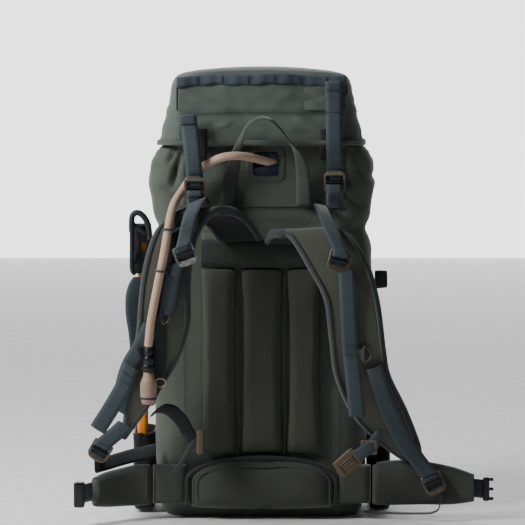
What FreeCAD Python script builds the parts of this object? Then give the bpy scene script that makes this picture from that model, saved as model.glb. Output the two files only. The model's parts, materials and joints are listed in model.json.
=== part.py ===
import FreeCAD, Part
import math
import os

from FreeCAD import Vector as V

# Hunting backpack, about 60 litres, standing on its base.
# Millimetres. +Z is up, the harness (wearer's side) faces -Y, the bag's front faces +Y.
# The origin is the centre of the bag's base, on the floor.

os.makedirs("parts", exist_ok=True)

# ---- driving dimensions ---------------------------------------------------------------------
BAG_BACK = -100.0          # Y of the bag's back panel, outside
BAG_FRONT = 112.0          # Y of the bag's front panel, outside
BAG_MOUTH = 588.0          # height of the sewn mouth of the bag
FABRIC = 3.0               # coated fabric with its lining
CORNER = 42.0              # bag corner radius, in plan
BAG_SECTIONS = [           # height, half width, back inset, front inset
    (0.0, 146.0, 8.0, 14.0),
    (45.0, 157.0, 0.0, 2.0),
    (250.0, 164.0, 0.0, 0.0),
    (375.0, 167.0, 0.0, 0.0),
    (438.0, 160.0, 0.0, 2.0),
    (505.0, 167.0, 0.0, 4.0),
    (556.0, 148.0, 0.0, 8.0),
    (BAG_MOUTH, 137.0, 0.0, 12.0),
]
LID_AXIS_Y = -104.0        # the lid folds on its back seam
LID_AXIS_Z = 611.0
LID_TOP = 674.0
HEM_Z = 562.0              # lower edge of the lid's skirt
WEB = 25.0                 # webbing width
WEB_T = 1.8                # webbing thickness
STRAP_T = 12.0             # padded shoulder strap
PAD_T = 17.0               # back pads
HOSE_D = 12.5
GAP = 0.4                  # air left between neighbouring pieces

# Webbing is collected here as it is made, then saved as two groups of separate solids.
harness_webbing = []
bag_webbing = []

# ---- helpers --------------------------------------------------------------------------------


def save(node, *shapes):
    """Write one node, as one solid or a group of separate solids."""
    solids = []
    for shape in shapes:
        solids.extend(shape.Solids)
    for solid in solids:
        if not solid.isValid() or solid.Volume <= 0:
            print("BAD SOLID", node, round(solid.Volume, 3))
    shape = solids[0] if len(solids) == 1 else Part.makeCompound(solids)
    shape.exportStep(f"parts/{node}.step")
    box = shape.BoundBox
    print(f"{node:28s} {len(solids)}  X {box.XMin:7.1f} {box.XMax:7.1f}  "
          f"Y {box.YMin:7.1f} {box.YMax:7.1f}  Z {box.ZMin:7.1f} {box.ZMax:7.1f}")


def box(x0, x1, y0, y1, z0, z1, radius=0.0):
    """A box between two corners, its upright edges rounded if a radius is given."""
    shape = Part.makeBox(x1 - x0, y1 - y0, z1 - z0, V(x0, y0, z0))
    if radius:
        upright = [e for e in shape.Edges if e.BoundBox.ZLength > 0.99 * (z1 - z0)]
        shape = shape.makeFillet(radius, upright)
    return shape


def soft_box(x0, x1, y0, y1, z0, z1, radius):
    """A box with every edge rounded."""
    shape = Part.makeBox(x1 - x0, y1 - y0, z1 - z0, V(x0, y0, z0))
    return shape.makeFillet(radius, shape.Edges)


def rounded_section(z, half_width, y0, y1, radius):
    """A closed horizontal wire: a rectangle with rounded corners."""
    x1, r = half_width, radius
    k = r * (1 - math.sqrt(0.5))
    wire = [
        Part.makeLine(V(-x1 + r, y0, z), V(x1 - r, y0, z)),
        Part.Arc(V(x1 - r, y0, z), V(x1 - k, y0 + k, z), V(x1, y0 + r, z)).toShape(),
        Part.makeLine(V(x1, y0 + r, z), V(x1, y1 - r, z)),
        Part.Arc(V(x1, y1 - r, z), V(x1 - k, y1 - k, z), V(x1 - r, y1, z)).toShape(),
        Part.makeLine(V(x1 - r, y1, z), V(-x1 + r, y1, z)),
        Part.Arc(V(-x1 + r, y1, z), V(-x1 + k, y1 - k, z), V(-x1, y1 - r, z)).toShape(),
        Part.makeLine(V(-x1, y1 - r, z), V(-x1, y0 + r, z)),
        Part.Arc(V(-x1, y0 + r, z), V(-x1 + k, y0 + k, z), V(-x1 + r, y0, z)).toShape(),
    ]
    return Part.Wire(wire)


def loft(wires):
    """A closed solid through the wires, ruled between each two of them."""
    solid = Part.makeLoft(wires, True, True)
    if solid.Volume < 0:
        solid.reverse()
    return solid


def quad(points):
    return Part.makePolygon(list(points) + [points[0]])


def ribbon(edge_a, edge_b, thickness, side=1.0):
    """A strap of even thickness between two edge lines. `side` picks the face they lie on."""
    sections = []
    for i, (a, b) in enumerate(zip(edge_a, edge_b)):
        a, b = V(*a), V(*b)
        last = len(edge_a) - 1
        before = (V(*edge_a[max(i - 1, 0)]) + V(*edge_b[max(i - 1, 0)])) * 0.5
        after = (V(*edge_a[min(i + 1, last)]) + V(*edge_b[min(i + 1, last)])) * 0.5
        normal = (after - before).cross(b - a)
        normal.normalize()
        shift = normal * (thickness * side)
        sections.append(quad([a, b, b + shift, a + shift]))
    return loft(sections)


def webbing(path, width=WEB, thickness=WEB_T, across=(1, 0, 0)):
    """Flat webbing whose middle line follows the path, with its width along `across`."""
    half = V(*across)
    half.normalize()
    half = half * (width / 2)
    edge_a = [V(*p) - half for p in path]
    edge_b = [V(*p) + half for p in path]
    shape = ribbon([tuple(p) for p in edge_a], [tuple(p) for p in edge_b], thickness)
    shape.translate(middle_shift(path, half, thickness))
    return shape


def middle_shift(path, half, thickness):
    """The move that puts a ribbon's middle, not its face, on the path."""
    along = V(*path[-1]) - V(*path[0])
    normal = along.cross(half)
    if normal.Length < 1e-6:
        return V(0, 0, 0)
    normal.normalize()
    return normal * (-thickness / 2)


def placed(shape, origin, across, down):
    """Put a shape drawn at the origin (X across, Z up, -Y outward) onto a strap."""
    x_dir = V(*across)
    x_dir.normalize()
    z_dir = V(*down) * -1
    z_dir = z_dir - x_dir * z_dir.dot(x_dir)
    z_dir.normalize()
    y_dir = z_dir.cross(x_dir)
    shape = shape.copy()
    shape.Placement = FreeCAD.Placement(V(*origin), FreeCAD.Rotation(x_dir, y_dir, z_dir, "XZY"))
    return shape


def tube(path, diameter, bore=0.0):
    """A round tube along straight runs joined by the largest tangent arcs they allow."""
    points = [V(*p) for p in path]
    edges, radii, start = [], [], points[0]
    for before, here, after in zip(points, points[1:], points[2:]):
        back, onward = before - here, after - here
        short = 0.45 * min(back.Length, onward.Length)
        turn = math.pi - back.getAngle(onward)
        back.normalize()
        onward.normalize()
        radius = short / math.tan(turn / 2)
        radii.append(radius)
        inside = back + onward
        inside.normalize()
        middle = here + inside * (radius / math.cos(turn / 2) - radius)
        edges.append(Part.LineSegment(start, here + back * short).toShape())
        edges.append(Part.Arc(here + back * short, middle, here + onward * short).toShape())
        start = here + onward * short
    edges.append(Part.LineSegment(start, points[-1]).toShape())
    spine = Part.Wire(edges)
    direction = points[1] - points[0]
    profile = Part.Wire(Part.makeCircle(diameter / 2, points[0], direction))
    solid = spine.makePipeShell([profile], True, True)
    if bore:
        hole = Part.Wire(Part.makeCircle(bore / 2, points[0], direction))
        solid = solid.cut(spine.makePipeShell([hole], True, True))
    return solid, spine.Length, radii


def report_tube(name, solid, length, radii, diameter, bore=0.0):
    area = math.pi * (diameter ** 2 - bore ** 2) / 4
    print(f"{name}: length {length:.1f}, volume {solid.Volume:.0f} against {area * length:.0f}, "
          f"radii {[round(r) for r in radii]}")


# ---- the bag --------------------------------------------------------------------------------


def bag_body(inset):
    wires = []
    for height, half, back, front in BAG_SECTIONS:
        z = max(height, inset)
        if height == BAG_MOUTH and inset:
            z = height + 1
        wires.append(rounded_section(z, half - inset, BAG_BACK + back + inset,
                                     BAG_FRONT - front - inset, CORNER - inset))
    return loft(wires)


def make_bag():
    """Five sewn panels cut out of one hollow body, edge to edge."""
    shell = bag_body(0.0).cut(bag_body(FABRIC))
    side = 118.0
    low = FABRIC + 4
    far = 400.0
    base = box(-far, far, -far, far, -1, low)
    save("bag_bottom_panel", shell.common(base))
    walls = shell.cut(base)
    save("bag_left_panel", walls.common(box(-far, -side, -far, far, 0, 700)))
    save("bag_right_panel", walls.common(box(side, far, -far, far, 0, 700)))
    middle = walls.common(box(-side, side, -far, far, 0, 700))
    back = middle.common(box(-far, far, -far, 0, 0, 700))
    port = box(-17, 29, BAG_BACK - 5, BAG_BACK + 8, 512, 555)
    save("bag_back_panel", back.cut(port))
    save("bag_front_panel", middle.common(box(-far, far, 0, far, 0, 700)))


def make_inner_parts():
    """What stiffens the bag and what it carries for water."""
    y = BAG_BACK + FABRIC + GAP
    save("frame_sheet", box(-112, 112, y, y + 2, 50, 500))
    stays = [box(x - 12, x + 12, y + 2.1, y + 5.1, 54, 496) for x in (-70, 70)]
    save("frame_stays", *stays)
    cap = Part.makeCylinder(26, 12, V(0, y + 42.2, 440), V(0, 1, 0))
    save("water_bladder", soft_box(-85, 85, y + 8, y + 42, 150, 490, 14), cap)
    save("port_flap", box(-20, 32, BAG_BACK + 9.2, BAG_BACK + 10.4, 508, 559))


def make_mouth():
    """The drawcord round the mouth and its spring lock, under the lid."""
    tunnel = 3.0
    z = BAG_MOUTH + 0.2
    outer = rounded_section(z, 132, BAG_BACK + 4, BAG_FRONT - 16, 38)
    inner = rounded_section(z, 132 - tunnel, BAG_BACK + 4 + tunnel, BAG_FRONT - 16 - tunnel, 35)
    ring = Part.Face(outer).cut(Part.Face(inner))
    save("mouth_drawcord", ring.extrude(V(0, 0, tunnel)))
    y = BAG_FRONT - 40
    body = box(-9, 9, y, y + 15, z, z + 14, 3)
    well = Part.makeCylinder(4.5, 12, V(-12, y + 7.5, z + 7), V(1, 0, 0))
    save("cord_lock_body", body.cut(well))
    button = Part.makeCylinder(4.1, 11, V(-14.5, y + 7.5, z + 7), V(1, 0, 0))
    save("cord_lock_button", button)


# ---- the lid --------------------------------------------------------------------------------


def make_lid():
    """The lid pocket, its skirt and what is sewn to it."""
    low = LID_AXIS_Z + 3
    sections = [(low, 141, -98, 112, 40), (650, 134, -97, 106, 38),
                (666, 128, -93, 98, 34), (LID_TOP, 112, -80, 84, 28)]
    wires = [rounded_section(z, half, y0, y1, r) for z, half, y0, y1, r in sections]
    save("lid_pocket", loft(wires))
    outer = loft([rounded_section(HEM_Z, 155, -110, 124, 44), rounded_section(low - 0.3, 142, -104, 113, 40)])
    inner = loft([rounded_section(HEM_Z - 1, 152.5, -107.5, 121.5, 42),
                  rounded_section(low + 1, 139.5, -101.5, 110.5, 38)])
    skirt = outer.cut(inner)
    save("lid_skirt", skirt.common(box(-300, 300, -90, 300, 500, 700)))
    flap = box(-141, 141, BAG_BACK - 3.2, BAG_BACK - 0.7, HEM_Z, LID_AXIS_Z)
    port = box(-18, 30, BAG_BACK - 8, BAG_BACK, 500, 567)
    save("lid_back_flap", flap.cut(port))
    save("lid_daisy_webbing", box(-128, 126, -99.6, -97.6, 652, 665))
    save("lid_zipper_slider", box(-96, -82, 113, 117, 623, 633, 1.0))


def make_lid_front_straps():
    """Two straps with plugs on the lid, and their sockets low on the bag's front."""
    straps, plugs, sockets = [], [], []
    for x in (-72, 72):
        straps.append(webbing([(x, 127, 590), (x, 128.5, 562), (x, 126, 420), (x, 124, 352)]))
        plugs.append(box(x - 11, x + 11, 120.5, 127.5, 318, 350, 2))
        tray = box(x - 16, x + 16, 115.5, 128.5, 300, 349)
        sockets.append(tray.cut(box(x - 13, x + 13, 119, 135, 305, 360)))
        bag_webbing.append(box(x - WEB / 2, x + WEB / 2, 116, 118, 240, 299.5))
    save("lid_front_straps", *straps)
    save("front_buckle_plugs", *plugs)
    save("front_buckle_sockets", *sockets)


# ---- back panel -----------------------------------------------------------------------------


def make_back_panel():
    y0, y1 = BAG_BACK - PAD_T, BAG_BACK - 0.3
    pads = [soft_box(x0, x1, y0, y1, 94, 376, 8) for x0, x1 in ((-94, -38), (-33, 32), (37, 90))]
    save("back_pads", *pads)
    save("yoke_band", box(-92, 87, BAG_BACK - 12, BAG_BACK - 0.3, 378, 420))
    lumbar = loft([rounded_section(z, half, -138 + inset, -100.5, 12) for z, half, inset in
                   ((14, 96, 6), (30, 112, 0), (72, 112, 0), (91, 70, 8))])
    save("lumbar_pad", lumbar)


def make_handle():
    """A webbing loop, flat where it is sewn and edge-on over the top."""
    y = BAG_BACK - 8
    outer = [(-63, y, 471), (-59, y - 1, 505), (-48, y - 9, 545), (-31, y - 22, 580), (-19, y - 30, 598),
             (-3, y - 34, 605), (14, y - 34, 602), (29, y - 30, 587), (40, y - 24, 570),
             (48, y - 16, 548), (51, y - 3, 519), (51, y - 1, 471)]
    inner = [(-38, y, 471), (-36, y - 1, 505), (-30, y - 10, 548), (-26, y - 40, 578), (-17, y - 53, 594),
             (-3, y - 59, 601), (13, y - 59, 598), (28, y - 52, 584), (42, y - 40, 566),
             (62, y - 24, 545), (72, y - 8, 515), (76, y - 1, 471)]
    save("haul_handle", ribbon(outer, inner, 2.2))


# ---- shoulder straps ------------------------------------------------------------------------

LEFT_OUTER = [(-68, -113, 424), (-88, -130, 453), (-110, -150, 468), (-134, -166, 461),
              (-157, -178, 438), (-172, -184, 396), (-180, -186, 348), (-185, -182, 291),
              (-194, -172, 238), (-203, -155, 178), (-211, -136, 125)]
LEFT_INNER = [(0, -113, 426), (-17, -130, 452), (-38, -150, 470), (-65, -168, 470),
              (-92, -182, 436), (-103, -189, 390), (-106, -191, 348), (-107, -187, 298),
              (-124, -176, 244), (-160, -157, 183), (-204, -136, 121)]
RIGHT_INNER = [(4, -113, 424), (8, -130, 434), (20, -148, 437), (40, -162, 428),
               (69, -176, 381), (92, -184, 336), (100, -184, 275), (108, -174, 220),
               (136, -156, 158), (180, -140, 112), (209, -134, 90)]
RIGHT_OUTER = [(70, -113, 424), (84, -130, 438), (104, -150, 441), (131, -166, 431),
               (158, -176, 388), (174, -182, 332), (183, -182, 262), (191, -172, 220),
               (216, -156, 168), (236, -142, 116), (240, -134, 93)]


def make_shoulder_straps():
    save("shoulder_strap_left", ribbon(LEFT_OUTER, LEFT_INNER, STRAP_T, -1.0))
    save("shoulder_strap_right", ribbon(RIGHT_INNER, RIGHT_OUTER, STRAP_T, -1.0))
    for x0, x1 in ((-68, -2), (5, 70)):
        harness_webbing.append(box(x0, x1, BAG_BACK - 12.5, BAG_BACK - 0.5, 421, 431))


# ---- ladder-lock buckles --------------------------------------------------------------------

LOCK_W = 31.0
LOCK_H = 27.0


def ladder_lock():
    """A frame with three bars. It hangs from its top bar, and its lip is at the bottom."""
    top_bar = Part.makeCylinder(1.9, LOCK_W, V(-LOCK_W / 2, 0, 0), V(1, 0, 0))
    frame = box(-LOCK_W / 2, LOCK_W / 2, -1.6, 1.6, -LOCK_H + 2, 0).fuse(top_bar)
    inner = WEB / 2 + 0.6
    upper = box(-inner, inner, -5, 5, -9.5, -2.4)
    lower = box(-inner, inner, -5, 5, -LOCK_H + 6, -13.5)
    lip = Part.makeCylinder(10, 3.2, V(0, -1.6, -LOCK_H + 9), V(0, 1, 0))
    lip = lip.common(box(-20, 20, -5, 5, -LOCK_H - 5, -LOCK_H + 2))
    turn = box(-WEB / 2, WEB / 2, -4.1, -1.9, -15.5, -7.5)
    return frame.cut(upper).cut(lower).fuse(lip).removeSplitter(), turn


LOCKS = {                  # name: origin of the top bar, direction across, direction down
    "lid_buckle_left": ((-99.5, -142, 488), (-1, 0, 0), (0.03, 0, 1)),
    "lid_buckle_right": ((109, -114, 496), (-1, 0, 0), (0, 0, 1)),
    "lifter_buckle_left": ((-117, -196, 414), (0.93, 0, 0.36), (-0.36, -0.02, -0.93)),
    "lifter_buckle_right": ((117, -188, 405), (0.97, 0, -0.25), (0.25, -0.05, -0.97)),
    "lower_buckle_left": ((-236, -136, 116), (0.86, 0, -0.5), (-0.5, 0.05, -0.86)),
    "lower_buckle_right": ((252, -142, 68), (0.9, 0, 0.42), (0.42, -0.05, -0.9)),
}


def make_ladder_locks():
    frame, turn = ladder_lock()
    for name, (origin, across, down) in LOCKS.items():
        save(name, placed(frame, origin, across, down), placed(turn, origin, across, down))


# ---- webbing ---------------------------------------------------------------------------------


def make_lid_rear_straps():
    """Lid adjusters: short anchors on the bag, tails up over the lid's back."""
    anchors = [webbing([(-99.5, -103, 484), (-99.5, -122, 484.5), (-99.5, -141, 485)]),
               webbing([(109, -103, 476), (109, -108, 484), (109, -114, 492)])]
    tails = [webbing([(-100, -143, 517.5), (-104, -138, 560), (-110, -126, 604)]),
             webbing([(109, -116, 526), (108.5, -112, 570), (108, -110, 606)])]
    tabs = [box(-98, -82, -108, -106, 540, 584), box(86, 97, -108, -106, 540, 584)]
    save("lid_rear_straps", *anchors, *tails, *tabs)
    save("lid_strap_tail_right", webbing([(108, -107, 616), (108, -104, 655)]))


def make_load_lifters():
    """From the bag's shoulder seam down to the strap locks, then the loose ends."""
    left = (0.94, 0, 0.34)
    right = (0.96, 0, -0.28)
    harness_webbing.extend([
        webbing([(-88, -104, 466), (-94, -150, 481), (-104, -187, 462), (-113, -196, 426)], across=left),
        webbing([(89, -104, 472), (94, -145, 460), (104, -178, 434), (113, -189, 414)], across=right),
        webbing([(-128, -199.5, 380), (-133, -199, 352), (-137, -197.5, 331)], across=left),
        webbing([(125, -192, 371), (128, -190, 310), (131, -189, 262), (136, -190, 215),
                 (141, -186, 162)], across=(0.99, 0, -0.1)),
    ])


def make_strap_webbing():
    """Webbing sewn down the shoulder straps, and the adjusters at their lower ends."""
    left = (0.86, 0, -0.5)
    right = (0.9, 0, 0.4)
    harness_webbing.extend([
        webbing([(-176, -189, 330), (-182, -186, 285), (-196, -176, 238), (-206, -163, 205)], across=left),
        webbing([(170, -186, 226), (184, -177, 180), (208, -159, 128), (226, -148, 102),
                 (241, -144, 82)], across=right),
        webbing([(-193, -189, 232), (-210, -184, 196), (-237, -176, 152)], across=left),
        webbing([(-205, -147, 143), (-218, -143, 132), (-230, -138.5, 122)], across=left),
        webbing([(-252, -131, 82), (-238, -112, 82), (-200, -102, 92), (-166, -101, 100)], 22.0,
                across=(0, 0.3, 1)),
        webbing([(268, -146, 33), (264, -148, 15), (225, -124, 9), (158, -112, 9)], 20.0, across=(0.1, 1, 0)),
    ])


def d_ring():
    """A wire D with its straight bar on the Z axis, and the webbing keeper round the bar."""
    wire = 1.6
    bow = Part.makeTorus(11, wire, V(0, 0, 0), V(0, -1, 0), -180, 180, 180)
    bar = Part.makeCylinder(wire, 22 + 2 * wire, V(0, 0, -11 - wire))
    keeper = box(-4, 3.5, -3.4, 3.6, -8, 8).cut(Part.makeCylinder(wire + 0.4, 20, V(0, 0, -10)))
    return bow.fuse(bar), keeper


D_RINGS = {"left": (-146, -195.5, 312), "right": (150, -192, 255)}


def make_d_rings():
    ring, keeper = d_ring()
    for side, origin in D_RINGS.items():
        save(f"d_ring_{side}", ring.translated(V(*origin)))
        harness_webbing.append(keeper.translated(V(*origin)))


def make_sternum_straps():
    """The chest strap, unclipped: its two halves hang from sliders on the shoulder straps."""
    save("sternum_strap_left", webbing([(-152, -170, 172), (-136, -172, 171), (-118, -170, 150),
                                        (-106, -167, 128)], 20, across=(0.75, 0, 0.66)))
    save("sternum_socket", soft_box(-97, -85, -180, -155, 105, 141, 3))
    save("sternum_slider", box(147, 171, -166, -162, 103, 125, 1.5))
    plug = soft_box(-19, 19, -5, 5, -16, 16, 3)
    save("sternum_plug", placed(plug, (127, -160, 91), (0.75, 0, 0.66), (0.66, 0, -0.75)))


def make_hip_belt():
    """Padded sides sewn to the lumbar pad, and the wings that swing beside the bag."""
    save("hip_belt_sides", box(-165, -112.5, -125, -111, 22, 82), box(112.5, 165, -125, -111, 22, 82))
    left = wing([(-170.5, -125, 22, 82), (-205, -137, 22, 78), (-243, -168, 24, 70)])
    save("hip_wing_left", left.fuse(Part.makeCylinder(7, 60, V(-172.8, -118.4, 22))))
    right = wing([(172.5, -125, 22, 84), (240, -128, 24, 87), (318, -136, 26, 70)])
    save("hip_wing_right", right.fuse(Part.makeCylinder(7, 62, V(172.8, -118, 22))))
    left = wing([(-215, -124, 34, 62), (-254, -156, 34, 60), (-266, -172, 34, 58)], 2)
    right = wing([(242, -113, 36, 64), (318, -121, 34, 60), (331, -123, 34, 58)], 2)
    save("hip_buckle_socket", box(-278, -262, -196, -175, 28, 66, 4), left)
    save("hip_buckle_plug", box(332, 348, -129, -118, 28, 64, 3), right)


def wing(stations, thickness=14.0):
    """A padded panel standing on edge: (x, y, low z, high z) at each station."""
    edge_a = [(x, y, low) for x, y, low, high in stations]
    edge_b = [(x, y, high) for x, y, low, high in stations]
    return ribbon(edge_a, edge_b, thickness, -1.0 if stations[-1][0] > 0 else 1.0)


# ---- sides and front ------------------------------------------------------------------------


def make_side_pockets():
    for side, sign in (("left", -1), ("right", 1)):
        x0, x1 = sorted((sign * 163.5, sign * 197))
        a0, a1 = sorted((sign * 165.5, sign * 195))
        outer = box(x0, x1, -62, 62, 4, 120, 10)
        save(f"side_pocket_{side}", outer.cut(box(a0, a1, -60, 60, 6, 130, 8)))


def make_compression_straps():
    for z in (220, 325):
        bag_webbing.append(webbing([(-170, -70, z), (-202, -62, z), (-205, 10, z), (-172, 60, z)],
                                   across=(0, 0, 1)))
        bag_webbing.append(webbing([(170, -70, z), (172, 60, z)], across=(0, 0, 1)))
    bag_webbing.append(box(170.5, 189, -80, -66, 345, 372, 2))


def make_hatchet():
    """A hatchet carried on the left side: head in its sheath, haft down in the pocket."""
    haft = loft([rounded_section(z, half, -y, y, 6) for z, half, y in
                 ((8, 9, 15), (40, 9, 19), (120, 8, 14), (300, 7.5, 12), (372, 7.5, 12), (436, 7, 16))])
    haft.translate(V(-183, -20, 0))
    head = Part.makePolygon([V(-191, -52, 384), V(-175, -52, 384), V(-175, -4, 384), V(-191, -4, 384),
                             V(-191, -52, 384)])
    head = Part.Face(head).extrude(V(0, 0, 50))
    head = head.cut(haft)
    save("hatchet_haft", haft)
    save("hatchet_head", head)
    sheath = box(-196, -170, -58, 0, 366, 440, 5).cut(box(-192, -174, -53, -2, 365, 441))
    grip = webbing([(-174, -68, 443), (-182, -68, 458), (-190, -68, 461), (-196, -68, 452),
                    (-196, -68, 372)], 14, 2.4, across=(0, 1, 0))
    save("hatchet_sheath", sheath, grip)


def make_front_pocket():
    y0, y1 = BAG_FRONT + 0.5, BAG_FRONT + 38
    save("front_pocket", soft_box(-105, 105, y0, y1, 30, 232, 14))
    save("front_zipper_slider", box(-84, -72, y1 + 0.4, y1 + 4, 205, 214, 1.0))
    bag_webbing.extend(box(-80, 80, y1 + 0.1, y1 + 1.9, z, z + WEB) for z in (60, 98, 136))


# ---- drinking hose ---------------------------------------------------------------------------

HOSE_ROUTE = [
    (20, -98, 534), (2, -109, 539), (-17, -122, 544), (-37, -132, 547), (-58, -135, 545),
    (-77, -129, 537), (-93, -122, 526), (-109, -122, 509), (-121, -132, 491), (-128, -152, 480),
    (-132, -172, 470), (-136, -188, 451), (-140, -197, 424), (-145, -201, 395), (-152, -203, 362),
    (-159, -201, 326), (-165, -195, 293), (-167, -189, 268),
]
VALVE_X, VALVE_Y, VALVE_Z = -167.0, -188.5, 267.5


def make_hose():
    solid, length, radii = tube(HOSE_ROUTE, HOSE_D)
    report_tube("hydration_hose", solid, length, radii, HOSE_D)
    save("hydration_hose", solid)
    for here, there in ((11, 12), (13, 14)):
        here, there = V(*HOSE_ROUTE[here]), V(*HOSE_ROUTE[there])
        middle, along = (here + there) * 0.5, there - here
        along.normalize()
        ring = Part.makeCylinder(HOSE_D / 2 + 2, 3, middle - along * 1.5, along)
        harness_webbing.append(ring.cut(Part.makeCylinder(HOSE_D / 2 + 1.2, 5, middle - along * 2.5, along)))


def turned(profile):
    """A round piece about the valve's axis from (radius, height) points."""
    points = [V(r, 0, z) for r, z in profile]
    points.append(points[0])
    face = Part.Face(Part.makePolygon(points))
    solid = face.revolve(V(0, 0, 0), V(0, 0, 1), 360)
    solid.translate(V(VALVE_X, VALVE_Y, 0))
    return solid


def make_valve():
    """Shut-off valve with its lever, then the bite valve under a pull-off cover."""
    save("shutoff_valve", turned([(0, 266.4), (6.5, 266.4), (7, 256), (8.5, 252), (8.5, 240),
                                  (10.5, 239), (10.5, 231), (0, 231)]))
    hub = Part.makeCylinder(3.5, 7.8, V(VALVE_X - 17, VALVE_Y, 256.5), V(1, 0, 0))
    save("valve_lever", hub.fuse(box(VALVE_X - 17, VALVE_X - 9.2, VALVE_Y - 2.5, VALVE_Y + 2.5, 257, 266)))
    save("bite_valve", turned([(0, 230.8), (5.5, 230.8), (5.5, 214), (5.9, 206), (5.8, 184), (0, 184)]))
    cover = turned([(6.2, 229), (7.6, 229), (12, 216), (12.5, 194), (10, 181), (7.8, 181), (8.1, 206),
                    (6.2, 214)])
    ring = Part.makeTorus(6, 1.1, V(VALVE_X + 17.5, VALVE_Y, 213), V(0, 1, 0))
    save("bite_cover", cover.fuse(ring))


make_bag()
make_inner_parts()
make_mouth()
make_lid()
make_lid_front_straps()
make_back_panel()
make_handle()
make_shoulder_straps()
make_ladder_locks()
make_lid_rear_straps()
make_load_lifters()
make_strap_webbing()
make_d_rings()
make_sternum_straps()
make_hip_belt()
make_side_pockets()
make_compression_straps()
make_hatchet()
make_front_pocket()
make_hose()
make_valve()
save("harness_webbing", *harness_webbing)
save("bag_webbing", *bag_webbing)
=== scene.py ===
import json
import math

import bmesh
import bpy
from mathutils import Matrix, Vector, noise

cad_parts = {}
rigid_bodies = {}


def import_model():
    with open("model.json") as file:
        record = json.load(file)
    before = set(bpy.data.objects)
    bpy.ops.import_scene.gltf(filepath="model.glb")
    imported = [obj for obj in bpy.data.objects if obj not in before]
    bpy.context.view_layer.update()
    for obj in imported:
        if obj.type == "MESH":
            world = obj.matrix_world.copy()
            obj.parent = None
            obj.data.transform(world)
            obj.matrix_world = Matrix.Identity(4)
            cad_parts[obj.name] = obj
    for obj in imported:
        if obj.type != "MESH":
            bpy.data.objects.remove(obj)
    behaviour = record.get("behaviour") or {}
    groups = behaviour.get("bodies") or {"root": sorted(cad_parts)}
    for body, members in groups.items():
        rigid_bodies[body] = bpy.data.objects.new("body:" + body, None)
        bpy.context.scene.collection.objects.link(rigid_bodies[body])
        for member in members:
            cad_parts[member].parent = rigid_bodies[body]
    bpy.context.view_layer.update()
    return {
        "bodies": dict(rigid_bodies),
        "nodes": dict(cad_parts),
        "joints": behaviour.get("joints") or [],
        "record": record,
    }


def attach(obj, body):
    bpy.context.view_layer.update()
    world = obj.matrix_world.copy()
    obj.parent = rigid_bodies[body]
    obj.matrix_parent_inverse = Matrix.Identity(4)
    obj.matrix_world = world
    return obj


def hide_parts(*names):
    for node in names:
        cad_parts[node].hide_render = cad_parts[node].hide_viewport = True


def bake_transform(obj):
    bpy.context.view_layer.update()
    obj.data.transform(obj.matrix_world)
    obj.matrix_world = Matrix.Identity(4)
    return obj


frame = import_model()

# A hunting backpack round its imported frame. Metres. +Z up, the harness faces -Y.
MM = 0.001
WEB = 0.025                # webbing's width and thickness
WEB_T = 0.0019
THIN_EDGE = 0.3            # share of its thickness that webbing keeps at its edges
UP = (0, 0, 1)
SIDES = (("left", -1), ("right", 1))

# ---- materials ------------------------------------------------------------------------------


class Nodes:
    """A material's node tree, built one call at a time."""

    def __init__(self, name, roughness, metallic=0.0, sheen=0.0, specular=0.5):
        self.material = bpy.data.materials.new(name)
        self.material.use_nodes = True
        self.tree = self.material.node_tree
        self.shader = self.tree.nodes["Principled BSDF"]
        self.shader.inputs["Roughness"].default_value = roughness
        self.shader.inputs["Metallic"].default_value = metallic
        self.shader.inputs["Sheen Weight"].default_value = sheen
        self.shader.inputs["Sheen Roughness"].default_value = 0.45
        self.shader.inputs["Specular IOR Level"].default_value = specular

    def add(self, kind, inputs=None, **settings):
        node = self.tree.nodes.new(kind)
        for key, value in settings.items():
            setattr(node, key, value)
        for key, value in (inputs or {}).items():
            if isinstance(value, bpy.types.NodeSocket):
                self.tree.links.new(value, node.inputs[key])
            else:
                node.inputs[key].default_value = value
        return node

    def coords(self):
        return self.add("ShaderNodeTexCoord").outputs["Object"]

    def math(self, operation, a, b=0.0):
        return self.add("ShaderNodeMath", {0: a, 1: b}, operation=operation).outputs[0]

    def ripple(self, value, pitch):
        """A sine wave along a coordinate in metres."""
        return self.math("SINE", self.math("MULTIPLY", value, 2 * math.pi / pitch))

    def centred(self, value, gain):
        """A value from -1 to 1 scaled by the gain and moved round 0.5."""
        node = self.add("ShaderNodeMath", {0: value, 1: gain, 2: 0.5}, operation="MULTIPLY_ADD")
        return node.outputs[0]

    def mix(self, factor, a, b):
        return self.add("ShaderNodeMix", {0: factor, 6: a, 7: b}, data_type="RGBA").outputs[2]

    def ramp(self, value, low, high, to_low=0.0, to_high=1.0):
        node = self.add("ShaderNodeMapRange", {0: value, 1: low, 2: high, 3: to_low, 4: to_high})
        return node.outputs[0]

    def noise(self, coords, scale, detail=3.0, roughness=0.55):
        return self.add("ShaderNodeTexNoise", {"Vector": coords, "Scale": scale, "Detail": detail,
                                               "Roughness": roughness}).outputs["Fac"]

    def colour(self, socket):
        self.tree.links.new(socket, self.shader.inputs["Base Color"])

    def rough(self, socket):
        self.tree.links.new(socket, self.shader.inputs["Roughness"])

    def bump(self, height, distance, strength):
        node = self.add("ShaderNodeBump", {"Height": height, "Distance": distance, "Strength": strength})
        self.tree.links.new(node.outputs[0], self.shader.inputs["Normal"])


def shade(colour, factor):
    """A colour made lighter or darker, with its alpha."""
    return (colour[0] * factor, colour[1] * factor, colour[2] * factor, 1.0)


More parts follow.
